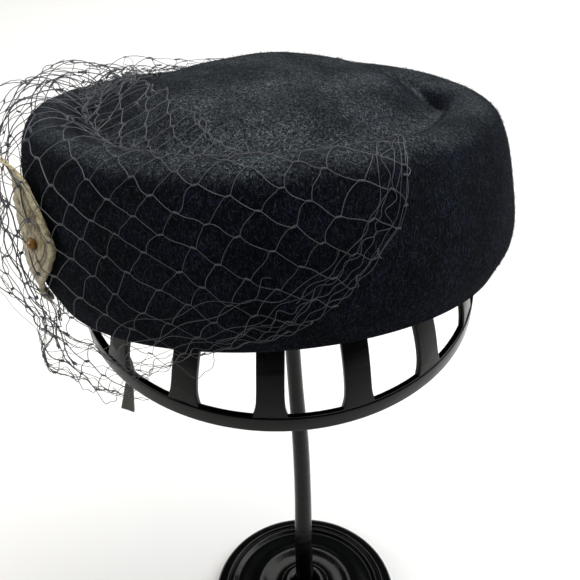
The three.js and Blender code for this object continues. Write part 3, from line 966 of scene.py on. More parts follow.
class HAT_OT_nap(bpy.types.Operator):
    """Scatters the felt's loose hairs over its wall and its crown"""

    bl_idname = "hat.nap"
    bl_label = "Felt nap"

    def execute(self, context):
        settings = context.scene.hat_felt
        material = wool_hair((*settings.hair_colour, 1.0))
        hair = hair_template(settings.hair_length, material)
        tree = nap_tree()
        zones = [("nap_wall", 0.05, 4.6, 21), ("nap_crown", 4.6, CROWN_TOP - 0.05, 22)]
        for name, low, high, seed in zones:
            values = {
                "Density": settings.hair_density,
                "Seed": seed,
                "Lean": 1.45,
                "Hair": hair,
                "Material": material,
            }
            piece = evaluated_piece(name, felt_carrier(low, high, 60, 120), tree, values)
            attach(piece, BODY)
        bpy.data.objects.remove(hair)
        return {"FINISHED"}


# ---- the net veil -----------------------------------------------------------------------------

# The net is laid out flat in its own plane: along runs round the hat, in millimetres at the mid
# wall's radius from the angle NET_MIDDLE, and rise runs up the felt from the hem.
NET_MIDDLE = 190.0
NET_RADIUS = 100.0


def along_of(angle):
    return np.radians(np.asarray(angle, float) - NET_MIDDLE) * NET_RADIUS


def angle_of(along):
    return np.radians(NET_MIDDLE) + np.asarray(along) / NET_RADIUS


class NetEdge:
    """The net's outline in its flat plane."""

    def __init__(self):
        corners = np.stack([along_of(column(VEIL_EDGE, "angle")), column(VEIL_EDGE, "rise")], -1)
        self.start = corners
        self.run = np.roll(corners, -1, axis=0) - corners
        press = column(VEIL_EDGE, "press")
        self.press_start = press
        self.press_run = np.roll(press, -1) - press

    def nearest(self, points):
        """Each point's nearest edge point, signed distance (inside is positive) and press."""
        offset = points[:, None] - self.start[None]
        length = (self.run**2).sum(-1)
        t = np.clip((offset * self.run[None]).sum(-1) / length, 0, 1)
        foot = self.start[None] + t[..., None] * self.run[None]
        distance = np.linalg.norm(points[:, None] - foot, axis=-1)
        best = distance.argmin(1)
        rows = np.arange(len(points))
        press = self.press_start[best] + self.press_run[best] * t[rows, best]
        return foot[rows, best], np.where(self.inside(points), 1, -1) * distance[rows, best], press

    def inside(self, points):
        x, y = points[:, 0][:, None], points[:, 1][:, None]
        x0, y0 = self.start.T
        x1, y1 = np.roll(self.start, -1, axis=0).T
        crosses = (y0 > y) != (y1 > y)
        reach = x0 + (y - y0) * (x1 - x0) / np.where(y1 == y0, 1e-9, y1 - y0)
        return (crosses & (x < reach)).sum(1) % 2 == 1


EDGE = NetEdge()
GATHER = 8.0


def gather(points):
    """Draws the net together near its edge, and turns what lies past the edge back over it.

    Returns the moved points and how far each one is folded back, in millimetres.
    """
    foot, distance, press = EDGE.nearest(points)
    heading = unit(points - foot) * np.sign(distance)[:, None]
    inside = np.maximum(distance, 0)
    beyond = np.maximum(-distance, 0)
    drawn = inside * (1 - press * np.exp(-inside / GATHER)) + 0.45 * beyond
    return foot + heading * drawn[:, None], beyond


VEIL_LUMPS = [Ripples(31, 34, 2), Ripples(32, 15, 2)]


def veil_surface(flat, layer, folded):
    """Points of the net in the hat's frame, from its flat plane. layer is how high it is stacked."""
    angle = angle_of(flat[:, 0])
    degrees = np.degrees(angle)
    columns = column(VEIL_COLUMNS, "angle")
    lifts = np.array([row["lift"] for row in VEIL_COLUMNS])
    low, middle, high = (np.interp(degrees, columns, lifts[:, k]) for k in range(3))
    climb = np.clip(flat[:, 1] / 100, 0, 1)
    lower = low + (middle - low) * smoothstep(0, 0.5, climb)
    lift = np.where(climb < 0.5, lower, middle + (high - middle) * smoothstep(0.5, 1, climb))
    puff = smoothstep(1.5, 9, lift)
    billow = VEIL_LUMPS[0](flat + 40 * layer) * 0.22 + VEIL_LUMPS[1](flat - 25 * layer) * 0.1
    share = 1 - 0.45 * layer
    lift = 0.5 + (lift - 0.5) * (1 + billow * puff) * share + 0.5 * folded / (1 + folded)
    place = RISES.place(np.maximum(flat[:, 1], 0), angle)
    point = off_felt(place, angle, lift)
    fall = np.maximum(-flat[:, 1], 0)
    inward = np.stack([-np.cos(angle), -np.sin(angle), 0 * angle], -1)
    point = point + inward * (VEIL_TUCK * fall)[:, None]
    point[:, 2] -= fall
    return point


class NetBuilder:
    """Collects threads and knots, each thread as a chain of points in the flat plane."""

    def __init__(self, seed):
        self.random = np.random.default_rng(seed)
        self.points, self.edges, self.thickness = [], [], []
        self.knots = []
        self.count = 0

    def chain(self, flat, layer, thickness, folded=None, sway=0.0):
        """A thread through points of the flat plane; sway lifts it in a soft arch off the net."""
        flat = np.asarray(flat, float)
        folded = np.zeros(len(flat)) if folded is None else folded
        surface = veil_surface(flat, layer, folded)
        if sway:
            arch = np.sin(np.linspace(0, math.pi, len(flat)))
            middle = surface * [1, 1, 0]
            surface = surface + unit(middle) * (arch * sway)[:, None]
        self.add_points(surface, thickness)

    def add_points(self, surface, thickness):
        number = len(surface)
        self.points.append(surface)
        first = self.count
        self.edges += [(first + i, first + i + 1) for i in range(number - 1)]
        self.thickness += [thickness] * number
        self.count += number

    def knot(self, surface, along, out, thickness):
        self.knots.append((surface, along, out, thickness))


def thread_between(start, end, bow, wave):
    """Points from start to end in the flat plane, bowed to one side with a small wave."""
    t = np.linspace(0, 1, 6)
    run = end - start
    side = np.array([-run[1], run[0]])
    shift = bow * np.sin(math.pi * t) + wave * np.sin(TURN * t)
    return start + t[:, None] * run + shift[:, None] * side


def free_share(along):
    """How free the net hangs there: 1 where it stands puffed out off the felt, 0 over the wall."""
    degrees = np.degrees(angle_of(along))
    return smoothstep(138, 158, degrees) * (1 - smoothstep(216, 234, degrees))


def lattice(net, settings, layer, window, shape):
    """Knots a skewed diamond net over the part of the flat plane that lies inside a window."""
    random = net.random
    fall, climb = shape["fall"], shape["climb"]
    side = settings.cell / MM * shape["scale"]
    down = np.array([math.cos(fall), -math.sin(fall)]) * side
    up = np.array([math.cos(climb), math.sin(climb)]) * side * 1.02
    bar = np.array([settings.knot_length / MM / 2, 0.0])
    reach = 60
    index = np.stack(np.meshgrid(np.arange(-reach, reach), np.arange(-reach, reach)), -1)
    index = index.reshape(-1, 2)
    raw = index @ np.stack([down, up]) + shape["offset"]
    keep = (raw[:, 0] > window[0] - side) & (raw[:, 0] < window[1] + side)
    keep &= (raw[:, 1] > -60) & (raw[:, 1] < 160)
    index, raw = index[keep], raw[keep]
    warp = np.stack([VEIL_LUMPS[0](raw + 7), VEIL_LUMPS[0](raw - 19)], -1) * shape["warp"]
    raw = raw + warp + random.normal(size=raw.shape) * shape["jitter"]
    _, distance, _ = EDGE.nearest(raw)
    inside_window = (raw[:, 0] > window[0]) & (raw[:, 0] < window[1])
    alive = (distance > -settings.fold / MM) & inside_window
    number = {tuple(pair): k for k, pair in enumerate(index) if alive[k]}
    for (i, j), k in number.items():
        tilt = random.normal() * 0.25
        turned = np.array([bar[0], bar[0] * tilt])
        ends = np.stack([raw[k] - turned, raw[k] + turned])
        moved, folded = gather(ends)
        surface = veil_surface(moved, layer, folded)
        centre = surface.mean(0)
        weight = shape["heavy"] * (1 + 0.4 * free_share(raw[k, 0]))
        thickness = random.uniform(0.9, 1.25) * weight
        net.knot(centre, surface[1] - surface[0], centre * [1, 1, 0.25], thickness)
        for step, family in (((1, 0), 1.08), ((0, 1), 0.92)):
            other = number.get((i + step[0], j + step[1]))
            if other is None:
                continue
            start, end = raw[k] + turned, raw[other] - bar * [1, 0.2]
            bow = random.normal() * 0.035 + (0.05 if step == (0, 1) else -0.02)
            flat = thread_between(start, end, bow, random.normal() * 0.022)
            moved, folded = gather(flat)
            net.chain(moved, layer, family * random.uniform(0.88, 1.15) * weight, folded)


# Long threads round the net's edge: how far in they lie, how thick they are, how strongly and how
# tightly they wave, and the first and last share of the edge that each follows.
GATHERING_ROWS = table("inset thickness wave pace first last", [
    (1.2, 1.1, 0.8, 0.4, 0.0, 0.56),
    (3.6, 1.0, 1.2, 0.45, 0.0, 0.32),
    (6.5, 0.9, 1.5, 0.55, 0.0, 0.14),
    (9.5, 0.95, 1.6, 0.5, 0.0, 0.12),
    (12.5, 0.85, 1.8, 0.45, 0.01, 0.1),
    (6.8, 0.95, 1.6, 0.24, 0.11, 0.3),
    (11.0, 0.9, 2.0, 0.2, 0.09, 0.28),
    (16.5, 0.9, 2.4, 0.18, 0.07, 0.26),
    (22.0, 0.85, 2.6, 0.16, 0.1, 0.24),
    (3.0, 0.9, 2.4, 0.3, 0.3, 0.56),
    (2.0, 1.0, 1.5, 0.4, 0.56, 0.72),
    (5.6, 0.9, 1.8, 0.4, 0.56, 0.7),
    (2.4, 0.85, 2.6, 0.3, 0.86, 1.0),
])


def edge_line(count):
    """Points at even steps along the net's whole outline, with its corners rounded."""
    corners = np.concatenate([EDGE.start, EDGE.start[:1]])
    lengths = np.concatenate([[0], np.cumsum(np.linalg.norm(np.diff(corners, axis=0), axis=1))])
    way = np.linspace(0, lengths[-1], count, endpoint=False)
    points = np.stack([np.interp(way, lengths, corners[:, k]) for k in (0, 1)], -1)
    width = 21
    kernel = np.ones(width) / width
    padded = np.concatenate([points[-width:], points, points[:width]])
    rounded = [np.convolve(padded[:, k], kernel, "same")[width:-width] for k in (0, 1)]
    return np.stack(rounded, -1)


def wandering(random, way, slowest, fastest, pace=1.0):
    """Waves of five random paces and starts, summed along a thread."""
    paces = random.uniform(slowest, fastest, 5) * pace
    starts = random.uniform(0, TURN, 5)
    return sum(np.sin(way * own + start) for own, start in zip(paces, starts))


def gathering_threads(net, rows):
    """Long threads that run side by side round the net's edge and draw it together."""
    line = edge_line(1300)
    ahead = unit(np.roll(line, -1, axis=0) - np.roll(line, 1, axis=0))
    inward = np.stack([ahead[:, 1], -ahead[:, 0]], -1)
    if not EDGE.inside(line[:1] + inward[:1] * 3)[0]:
        inward = -inward
    way = np.arange(len(line))
    for row in rows:
        wave = wandering(net.random, way, 0.3, 1.1, row["pace"])
        path = line + inward * (row["inset"] + wave * row["wave"] / 2)[:, None]
        path = path[int(row["first"] * len(way)) : int(row["last"] * len(way))]
        net.chain(path, 0.0, row["thickness"])


def groove_threads(net):
    """Wavy threads bunched along the groove between the rim and the crown."""
    for first, last, rise, thickness in GROOVE_ROWS:
        steps = int((last - first) * 2.4)
        angle = np.linspace(first, last, steps)
        wave = wandering(net.random, np.arange(steps), 0.12, 0.75)
        net.chain(np.stack([along_of(angle), rise + 1.1 * wave], -1), 0.0, thickness)


def loose_loops(net, rows):
    """Threads that stand free of the net in arches and loops, each between two places of it."""
    for row in rows:
        t = np.linspace(0, 1, 15)
        start = np.array([along_of(row["from"][0]), row["from"][1]])
        end = np.array([along_of(row["to"][0]), row["to"][1]])
        run = end - start
        side = np.array([-run[1], run[0]])
        bulge = np.sin(math.pi * t) ** 0.7 * row["bow"] + 0.05 * np.sin(TURN * 2 * t)
        flat = start + t[:, None] * run + bulge[:, None] * side
        net.chain(flat, 0.0, row["thickness"], sway=row["sway"])


# Each groove thread's first and last angle, rise and thickness.
GROOVE_ROWS = [
    (206, 300, 97, 1.0), (214, 296, 100, 0.9), (226, 302, 94, 0.9), (236, 306, 98, 1.0),
    (178, 262, 101, 0.85), (248, 308, 91, 0.8), (190, 240, 105, 0.8), (262, 311, 88, 0.9),
    (268, 309, 94, 0.9), (274, 304, 98, 0.8), (120, 200, 99, 1.0), (110, 180, 95, 0.9),
]

# Free threads over the rim, off the puffed end and under the hanging edge: from and to are an angle
# and a rise, bow bends the thread in the net's plane and sway lifts it off.
LOOSE_LOOPS = table("from to bow sway thickness", [
    ((112, 92), (126, 98), -0.2, 3, 1.0),
    ((143, 88), (150, 86), 0.9, 4, 1.5),
    ((145, 90), (152, 88), -0.8, 5, 1.5),
    ((147, 84), (153, 91), 0.7, 3, 1.6),
    ((142, 86), (151, 92), 0.6, 4, 1.4),
    ((144, 92), (149, 84), -0.7, 5, 1.5),
    ((141, 89), (147, 93), 1.0, 2, 1.4),
    ((149, 87), (160, 82), -0.3, 4, 1.3),
    ((153, 86), (168, 74), 0.35, 3, 1.3),
    ((150, 82), (166, 80), 0.3, 4, 1.0),
    ((170, 70), (196, 84), 0.2, 5, 0.9),
    ((182, 60), (199, 42), 0.35, 4, 1.0),
    ((176, 36), (190, 12), -0.3, 4, 0.9),
    ((190, 16), (203, -6), 0.3, 4, 1.0),
    ((183, -8), (193, -14), 0.3, 2, 1.0),
    ((212, -19), (220, -22), -0.35, 2, 1.1),
    ((219, -22), (227, -22), -0.45, 1, 1.1),
    ((226, -20), (234, -15), -0.35, 1, 1.1),
    ((231, -5), (246, -3), -0.3, 1, 1.0),
    ((246, -4), (257, 1), -0.45, 1, 1.0),
])


# Each cord's first angle and rise, and its last angle and rise.
HANGING_CORDS = [
    (206, 2, 244, -8), (196, -14, 236, -24), (170, -16, 205, -16), (214, 8, 238, -14),
]
CORD_TURNS = 7


def hanging_cords(net):
    """Pairs of threads twisted round each other along the hanging edge."""
    t = np.linspace(0, 1, 46)
    for first_angle, first_rise, last_angle, last_rise in HANGING_CORDS:
        along = along_of(first_angle + (last_angle - first_angle) * t)
        rise = first_rise + (last_rise - first_rise) * t
        sag = net.random.normal() * 1.5 - 3.0
        for phase in (0.0, math.pi):
            twist = np.sin(t * TURN * CORD_TURNS + phase) * 0.55
            drop = sag * np.sin(math.pi * t) + np.cos(t * TURN * CORD_TURNS + phase) * 0.3
            net.chain(np.stack([along, rise + twist + drop], -1), 0.0, 1.0)


def knot_template(radius, length, material):
    """One knot along X: two threads side by side under a short double wrap."""
    half = length / 2
    t = np.linspace(-1, 1, 6)
    parts = []
    for side in (-1, 1):
        spread = side * radius * (0.75 + 0.7 * t**2)
        centres = np.stack([t * half, spread, 0 * t], -1)
        parts.append(tube(centres, np.full(6, radius), 5))
    turn = np.linspace(0, 2 * TURN, 13)
    wrap = np.stack([(turn / TURN - 1) * radius * 1.3, np.cos(turn) * radius * 2.2,
                     np.sin(turn) * radius * 1.5], -1)
    parts.append(tube(wrap, np.full(13, radius * 0.75), 4, (1, 0, 0)))
    points, faces = join(parts)
    return mesh_object("knot_template", points, faces, material)


class HatVeilSettings(bpy.types.PropertyGroup):
    colour: colour_setting("Thread colour", "Palest colour of the net's thread", "#5c5f65")
    thread_radius: length_setting("Thread radius", "Half the thickness of the net's thread", 0.14)
    cell: length_setting("Cell side", "Distance from one knot to the next along a thread", 11.4)
    knot_length: length_setting("Knot length", "Length of a knot along the net", 2.0)
    fold: length_setting("Fold", "Width of net that is turned back over its edge", 8)
    seed: bpy.props.IntProperty(name="Seed", description="Seed of the threads' waves", default=5)


# The layers of net: window is the stretch of the flat plane by angle, fall and climb are the slopes
# of its two thread families, warp and jitter how uneven it lies.
NET_LAYERS = [
    {"name": "veil_net", "angles": (60, 316), "layer": 0.0, "fall": 28, "climb": 48,
     "scale": 1.0, "heavy": 1.0, "offset": (3.0, 4.0), "warp": 1.6, "jitter": 0.45},
    {"name": "veil_under_net", "angles": (118, 212), "layer": 1.0, "fall": 50, "climb": 44,
     "scale": 1.25, "heavy": 1.3, "offset": (-2.0, 7.0), "warp": 3.5, "jitter": 1.3},
]


def net_carrier(net):
    """The net's chains and knot points as one loose mesh with the attributes its tree reads."""
    chains = np.concatenate(net.points)
    knots = np.array([row[0] for row in net.knots])
    points = hat_to_world(np.concatenate([chains, knots]))
    mesh = bpy.data.meshes.new("net_carrier")
    mesh.from_pydata((points * MM).tolist(), net.edges, [])
    total = len(points)
    thickness = np.concatenate([net.thickness, [row[3] for row in net.knots]])
    marks = np.arange(total) >= len(chains)
    headings = np.zeros((total, 3))
    outs = np.zeros((total, 3))
    origin = hat_to_world(np.zeros(3))
    headings[marks] = unit(hat_to_world(np.array([row[1] for row in net.knots])) - origin)
    outs[marks] = unit(hat_to_world(np.array([row[2] for row in net.knots])) - origin)
    for name, kind, field, values in (
        ("thickness", "FLOAT", "value", thickness),
        ("knot", "BOOLEAN", "value", marks),
        ("along", "FLOAT_VECTOR", "vector", headings.ravel()),
        ("out", "FLOAT_VECTOR", "vector", outs.ravel()),
    ):
        mesh.attributes.new(name, kind, "POINT").data.foreach_set(field, values)
    return place_object("net_carrier", mesh)


class HAT_OT_veil(bpy.types.Operator):
    """Knots the net veil over the hat, gathered at its edges and puffed out over the trim"""

    bl_idname = "hat.veil"
    bl_label = "Net veil"

    def execute(self, context):
        settings = context.scene.hat_veil
        material = rayon_thread((*settings.colour, 1.0))
        radius, length = settings.thread_radius / MM, settings.knot_length / MM
        knot = knot_template(radius, length, material)
        tree = thread_tree()
        for row in NET_LAYERS:
            net = NetBuilder(settings.seed + round(10 * row["layer"]))
            kept = ("scale", "heavy", "offset", "warp", "jitter")
            shape = {key: row[key] for key in kept}
            shape.update({key: math.radians(row[key]) for key in ("fall", "climb")})
            lattice(net, settings, row["layer"], along_of(row["angles"]), shape)
            if row["layer"] == 0:
                gathering_threads(net, GATHERING_ROWS)
                groove_threads(net)
                loose_loops(net, LOOSE_LOOPS)
                hanging_cords(net)
            values = {
                "Radius": settings.thread_radius,
                "Sides": 4,
                "Knot": knot,
                "Material": material,
            }
            piece = evaluated_piece(row["name"], net_carrier(net), tree, values)
            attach(piece, BODY)
            if row["layer"] == 0:
                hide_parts("veil")
        bpy.data.objects.remove(knot)
        return {"FINISHED"}


# ---- the trim ---------------------------------------------------------------------------------


def leaf_surface(place, share, out_extra):
    """The leaf's middle surface in the hat's frame, at section places and shares across it."""
    read = {
        key: catmull_rom(column(LEAF_SECTIONS, key), place)
        for key in ("height", "width", "angle", "out")
    }
    middle = np.radians(read["angle"])
    wall_height = np.minimum(read["height"], LEAF["wall_top"])
    angle = middle + share * read["width"] / 2 / outline_radius(middle)
    low, high = np.zeros_like(place), np.full_like(place, 5.0)
    for _ in range(18):
        guess = (low + high) / 2
        below = felt_point(guess, angle)[..., 2] < wall_height
        low, high = np.where(below, guess, low), np.where(below, high, guess)
    point = off_felt(low, angle, read["out"] + out_extra)
    point[..., 2] += read["height"] - wall_height
    return point


def leaf_creases(place, share):
    """How near each point of the leaf is to a crease: 1 on it, 0 away from it."""
    width = catmull_rom(column(LEAF_SECTIONS, "width"), place) / 2
    height = catmull_rom(column(LEAF_SECTIONS, "height"), place)
    heights = column(LEAF_SECTIONS, "height")
    widths = column(LEAF_SECTIONS, "width") / 2
    places = np.arange(len(LEAF_SECTIONS))
    nearest = np.full(place.shape, 1e3)
    for row in LEAF_CREASES:
        for t in np.linspace(0, 1, 40):
            bow = row["bow"] * math.sin(math.pi * t)
            at_share = row["from"][0] + (row["to"][0] - row["from"][0]) * t + bow
            at_place = row["from"][1] + (row["to"][1] - row["from"][1]) * t
            x = at_share * np.interp(at_place, places, widths)
            y = np.interp(at_place, places, heights)
            nearest = np.minimum(nearest, np.hypot(share * width - x, height - y))
    return nearest


class HatTrimSettings(bpy.types.PropertyGroup):
    leather: colour_setting("Leather", "Main colour of the leaf", "#b8ad88")
    crease: colour_setting("Creases", "Colour in the leaf's creases", "#4a3d24")
    bead: colour_setting("Bead", "Colour of the glass bead", "#c9a052")
    tail: colour_setting("Tail", "Colour of the leather tail", "#231f12")


def point_attribute(piece, name, values):
    layer = piece.data.attributes.new(name, "FLOAT", "POINT")
    layer.data.foreach_set("value", np.asarray(values, np.float32))


class HAT_OT_leaf(bpy.types.Operator):
    """Makes the crinkled leather leaf with its hem, lobes and curled end"""

    bl_idname = "hat.leaf"
    bl_label = "Leather leaf"

    def execute(self, context):
        settings = context.scene.hat_trim
        rows, columns = LEAF["along"], LEAF["across"]
        place, share = np.meshgrid(
            np.linspace(0, len(LEAF_SECTIONS) - 1, rows), np.linspace(-1, 1, columns), indexing="ij"
        )
        scallop = np.sin(place * 9.0) * 0.5 + np.sin(place * 23.0 + 1.0) * 0.3
        edge = smoothstep(0.8, 1.0, np.abs(share))
        width = catmull_rom(column(LEAF_SECTIONS, "width"), place)
        spread = share * (1 + edge * scallop * 1.4 / np.maximum(width, 8))
        nearest = leaf_creases(place, share)
        crease = np.exp(-((nearest / 1.1) ** 2))
        height = catmull_rom(column(LEAF_SECTIONS, "height"), place)
        flat = np.stack([share * width / 2, height], -1)
        crinkle = Ripples(41, 7, 2)(flat) * 0.3 + Ripples(42, 3.2, 2)(flat) * 0.14
        puff = 1.1 * (1 - np.exp(-nearest / 2.6)) + crinkle - 0.5 * crease
        hem = smoothstep(0.86, 0.95, np.abs(share)) * (place > 0.4)
        curl_back = smoothstep(3.6, 4.6, place)
        puff = puff * (1 - 0.6 * curl_back) + 0.5 * hem
        front = leaf_surface(place, spread, LEAF["thickness"] + puff - 0.2)
        back = leaf_surface(place, spread, puff * 0.5 - 0.2)
        size = rows * columns
        points = np.concatenate([front.reshape(-1, 3), back.reshape(-1, 3)])
        faces = grid_faces(rows, columns, False)
        faces += [[i + size for i in face[::-1]] for face in grid_faces(rows, columns, False)]
        border = [*range(columns), *(k * columns + columns - 1 for k in range(1, rows))]
        border += [*range(size - 2, size - columns - 1, -1)]
        border += [k * columns for k in range(rows - 2, 0, -1)]
        for a, b in zip(border, border[1:] + border[:1]):
            faces.append([a, b, b + size, a + size])
        material = crinkled_leather((*settings.leather, 1.0), (*settings.crease, 1.0))
        piece = mesh_object("leather_leaf", hat_to_world(points), faces, material)
        # The crease attribute tells the leather material where to paint shade into the creases.
        point_attribute(piece, "crease", np.tile((crease * 0.9).ravel(), 2))
        point_attribute(piece, "hem", np.tile(hem.ravel(), 2))
        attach(piece, BODY)
        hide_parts("trim_leaf")
        return {"FINISHED"}


def place_at_height(height, angle):
    """The station place at which the felt reaches a height, found by halving."""
    low, high = 0.0, 5.0
    for _ in range(24):
        guess = (low + high) / 2
        if felt_point(guess, angle)[..., 2] < height:
            low = guess
        else:
            high = guess
    return low


class HAT_OT_bead(bpy.types.Operator):
    """Makes the amber bead that sits on the leaf"""

    bl_idname = "hat.bead"
    bl_label = "Amber bead"

    def execute(self, context):
        settings = context.scene.hat_trim
        angle = math.radians(BEAD["angle"])
        place = place_at_height(BEAD["height"], angle)
        out = BEAD["leaf_out"] + LEAF["thickness"] + BEAD["gap"] + BEAD["radius"] * 0.8
        centre = off_felt(place, angle, np.array(out))
        normal = felt_normal(place, angle)
        up = unit(felt_point(place + 0.1, angle) - felt_point(place, angle))
        side = np.cross(up, normal)
        rows, columns = 26, 40
        lat = (np.arange(1, rows) / rows - 0.5) * math.pi
        lon = np.arange(columns) / columns * TURN
        stretch = np.array([1.0, 1.25, 0.82]) * BEAD["radius"]
        shape = np.stack([
            np.cos(lat)[:, None] * np.cos(lon)[None],
            np.cos(lat)[:, None] * np.sin(lon)[None],
            np.sin(lat)[:, None] + 0 * lon[None],
        ], -1).reshape(-1, 3)
        shape = np.concatenate([shape, [[0, 0, -1], [0, 0, 1]]]) * stretch
        points = centre + shape @ np.stack([side, up, normal])
        faces = capped_rings(rows - 1, columns)
        bead = mesh_object("amber_bead", hat_to_world(points), faces,
                           amber_glass((*settings.bead, 1.0)))
        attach(bead, BODY)
        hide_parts("trim_bead")
        return {"FINISHED"}


class HAT_OT_tail(bpy.types.Operator):
    """Makes the leather tail that hangs past the stand's ring"""

    bl_idname = "hat.tail"
    bl_label = "Leather tail"

    def execute(self, context):
        settings = context.scene.hat_trim
        way = np.linspace(0, len(TAIL_STATIONS) - 1, TAIL["along"])
        middle = np.stack([catmull_rom(column(TAIL_STATIONS, key), way) for key in "xyz"], -1)
        width = catmull_rom(column(TAIL_STATIONS, "width"), way)
        facing = TAIL["facing"]
        across = np.array([-math.sin(facing), math.cos(facing), 0])
        front = np.array([math.cos(facing), math.sin(facing), 0])
        turn = np.arange(TAIL["sides"]) / TAIL["sides"] * TURN
        c = np.sign(np.cos(turn)) * np.abs(np.cos(turn)) ** TAIL["squareness"]
        s = np.sign(np.sin(turn)) * np.abs(np.sin(turn)) ** TAIL["squareness"]
        cup = 0.25 * (c**2)[None] * (width / 6)[:, None]
        points = (
            middle[:, None]
            + (width[:, None] / 2 * c[None])[..., None] * across
            + (TAIL["thickness"] / 2 * s[None] + cup)[..., None] * front
        )
        rows = len(way)
        edge = np.tile(smoothstep(0.8, 1.0, np.abs(c)), rows)
        points = np.concatenate([points.reshape(-1, 3), middle[:1], middle[-1:]])
        faces = capped_rings(rows, TAIL["sides"])
        piece = mesh_object("leather_tail", points, faces, dark_leather((*settings.tail, 1.0)))
        point_attribute(piece, "hem", np.concatenate([edge, [0, 1]]))
        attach(piece, BODY)
        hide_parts("trim_tail")
        return {"FINISHED"}


# ---- the stand --------------------------------------------------------------------------------


def rounded_profile(corners, radius, steps=4):
    """A closed outline with each corner rounded by a short arc."""
    corners = np.asarray(corners, float)
    points = []
    for before, corner, after in zip(np.roll(corners, 1, 0), corners, np.roll(corners, -1, 0)):
        reach = min(radius, np.linalg.norm(before - corner) / 2, np.linalg.norm(after - corner) / 2)
        start = corner + unit(before - corner) * reach
        end = corner + unit(after - corner) * reach
        for t in np.linspace(0, 1, steps):
            points.append((1 - t) ** 2 * start + 2 * t * (1 - t) * corner + t**2 * end)
    return np.array(points)


def turned(profile, segments, closed=True):
    """A lathe-turned body from (radius, height) points; open profiles start and end on the axis."""
    angle = np.arange(segments) / segments * TURN
    radius, height = profile[:, 0], profile[:, 1]
    points = np.stack([
        radius[:, None] * np.cos(angle)[None],
        radius[:, None] * np.sin(angle)[None],
        height[:, None] + 0 * angle[None],
    ], -1)
    rows = len(profile)
    if closed:
        points = np.concatenate([points, points[:1]])
        faces = grid_faces(rows + 1, segments, True)
        size = rows * segments
        faces = [[i % size for i in face] for face in faces]
        return points[:-1].reshape(-1, 3), faces
    poles = np.array([[0, 0, height[0]], [0, 0, height[-1]]])
    return np.concatenate([points.reshape(-1, 3), poles]), capped_rings(rows, segments)


def dome_arc(start, end, steps, depth):
    """(radius, height) points along the dome's outline, depth under its outer side."""
    angle = np.linspace(start, end, steps)
    radius = STAND["dome_radius"] - depth
    return np.stack([radius * np.cos(angle), (STAND["dome_height"] - depth) * np.sin(angle)], -1)


def rib_section():
    """A rib's section outline across its strip: width by thickness, with rounded edges."""
    half, thick = STAND["rib_width"] / 2, STAND["rib_thickness"]
    corners = [(-half, 0), (half, 0), (half, thick), (-half, thick)]
    return rounded_profile(corners, 0.7)


def rib_shape():
    """One rib from inside the ring to under the cap, flared a little where it meets the ring."""
    start = math.asin(2.0 / STAND["dome_height"])
    end = math.acos((STAND["cap_radius"] - 3) / STAND["dome_radius"])
    steps = 44
    section = rib_section()
    angle = np.linspace(start, end, steps)
    rows = []
    foot_angle = math.asin(STAND["ring_height"] / STAND["dome_height"])
    for a in angle:
        flare = 1 + 0.34 * math.exp(-max(0.0, (a - foot_angle) / 0.035))
        depth = section[:, 1] + 0.15
        radius = (STAND["dome_radius"] - depth) * math.cos(a)
        height = (STAND["dome_height"] - depth) * math.sin(a)
        rows.append(np.stack([radius, section[:, 0] * flare, height], -1))
    points = np.array(rows)
    count = points.shape[1]
    centre = points.mean(1)
    points = np.concatenate([points.reshape(-1, 3), centre[:1], centre[-1:]])
    return points, capped_rings(steps, count)


class HatStandSettings(bpy.types.PropertyGroup):
    colour: colour_setting("Plastic colour", "Colour of the stand", "#020303")
    gloss: bpy.props.FloatProperty(
        name="Roughness", description="Roughness of the moulded plastic",
        default=0.2, min=0, max=1, subtype="FACTOR",
    )


def stand_material(context):
    """The stand's plastic, made once and shared by its pieces."""
    found = bpy.data.materials.get("moulded_black_plastic")
    settings = context.scene.hat_stand
    return found or moulded_plastic((*settings.colour, 1.0), gloss=settings.gloss)


class HAT_OT_dome(bpy.types.Operator):
    """Makes the stand's dome: its ring, its fifteen ribs and its cap"""

    bl_idname = "hat.dome"
    bl_label = "Stand dome"

    def execute(self, context):
        material = stand_material(context)
        outer, thick = STAND["ring_radius"], STAND["ring_thickness"]
        top = STAND["ring_height"]
        inner = outer - thick
        ring = rounded_profile([(inner, 0), (outer, 0), (outer, top), (inner, top)], 1.1, 5)
        cap_start = math.acos(STAND["cap_radius"] / STAND["dome_radius"])
        over = dome_arc(cap_start, math.pi / 2 - 0.01, 16, 0)
        under = dome_arc(math.pi / 2 - 0.01, cap_start, 16, STAND["rib_thickness"])
        cap = np.concatenate([under, over])
        centre = np.array([*STAND["dome_centre"], STAND["ring_bottom"]])
        for name, profile, segments, closed, node in (
            ("stand_rim_ring", ring, 220, True, "stand_ring"),
            ("stand_dome_cap", cap, 96, False, "stand_cap"),
        ):
            points, faces = turned(profile, segments, closed)
            piece = mesh_object(name, points + centre, faces, material)
            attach(piece, BODY)
            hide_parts(node)
        points, faces = rib_shape()
        values = {
            "Count": STAND["rib_count"],
            "First": STAND["first_rib"],
            "Centre": tuple(centre * MM),
            "Material": material,
        }
        carrier = mesh_object("rib_carrier", points, faces, material)
        ribs = evaluated_piece("stand_dome_ribs", carrier, rib_tree(), values)
        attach(ribs, BODY)
        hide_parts(*(f"stand_rib_{i:02d}" for i in range(1, STAND["rib_count"] + 1)))
        return {"FINISHED"}


class HAT_OT_stem(bpy.types.Operator):
    """Makes the stand's bowed stem"""

    bl_idname = "hat.stem"
    bl_label = "Stand stem"

    def execute(self, context):
        way = np.linspace(0, len(STEM_STATIONS) - 1, 120)
        middle = np.stack([catmull_rom(column(STEM_STATIONS, key), way) for key in "xyz"], -1)
        radii = catmull_rom(column(STEM_STATIONS, "radius"), way)
        points, faces = tube(middle, radii, 48, (1, 0, 0))
        piece = mesh_object("stand_stem_rod", points, faces, stand_material(context))
        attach(piece, BODY)
        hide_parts("stand_stem")
        return {"FINISHED"}


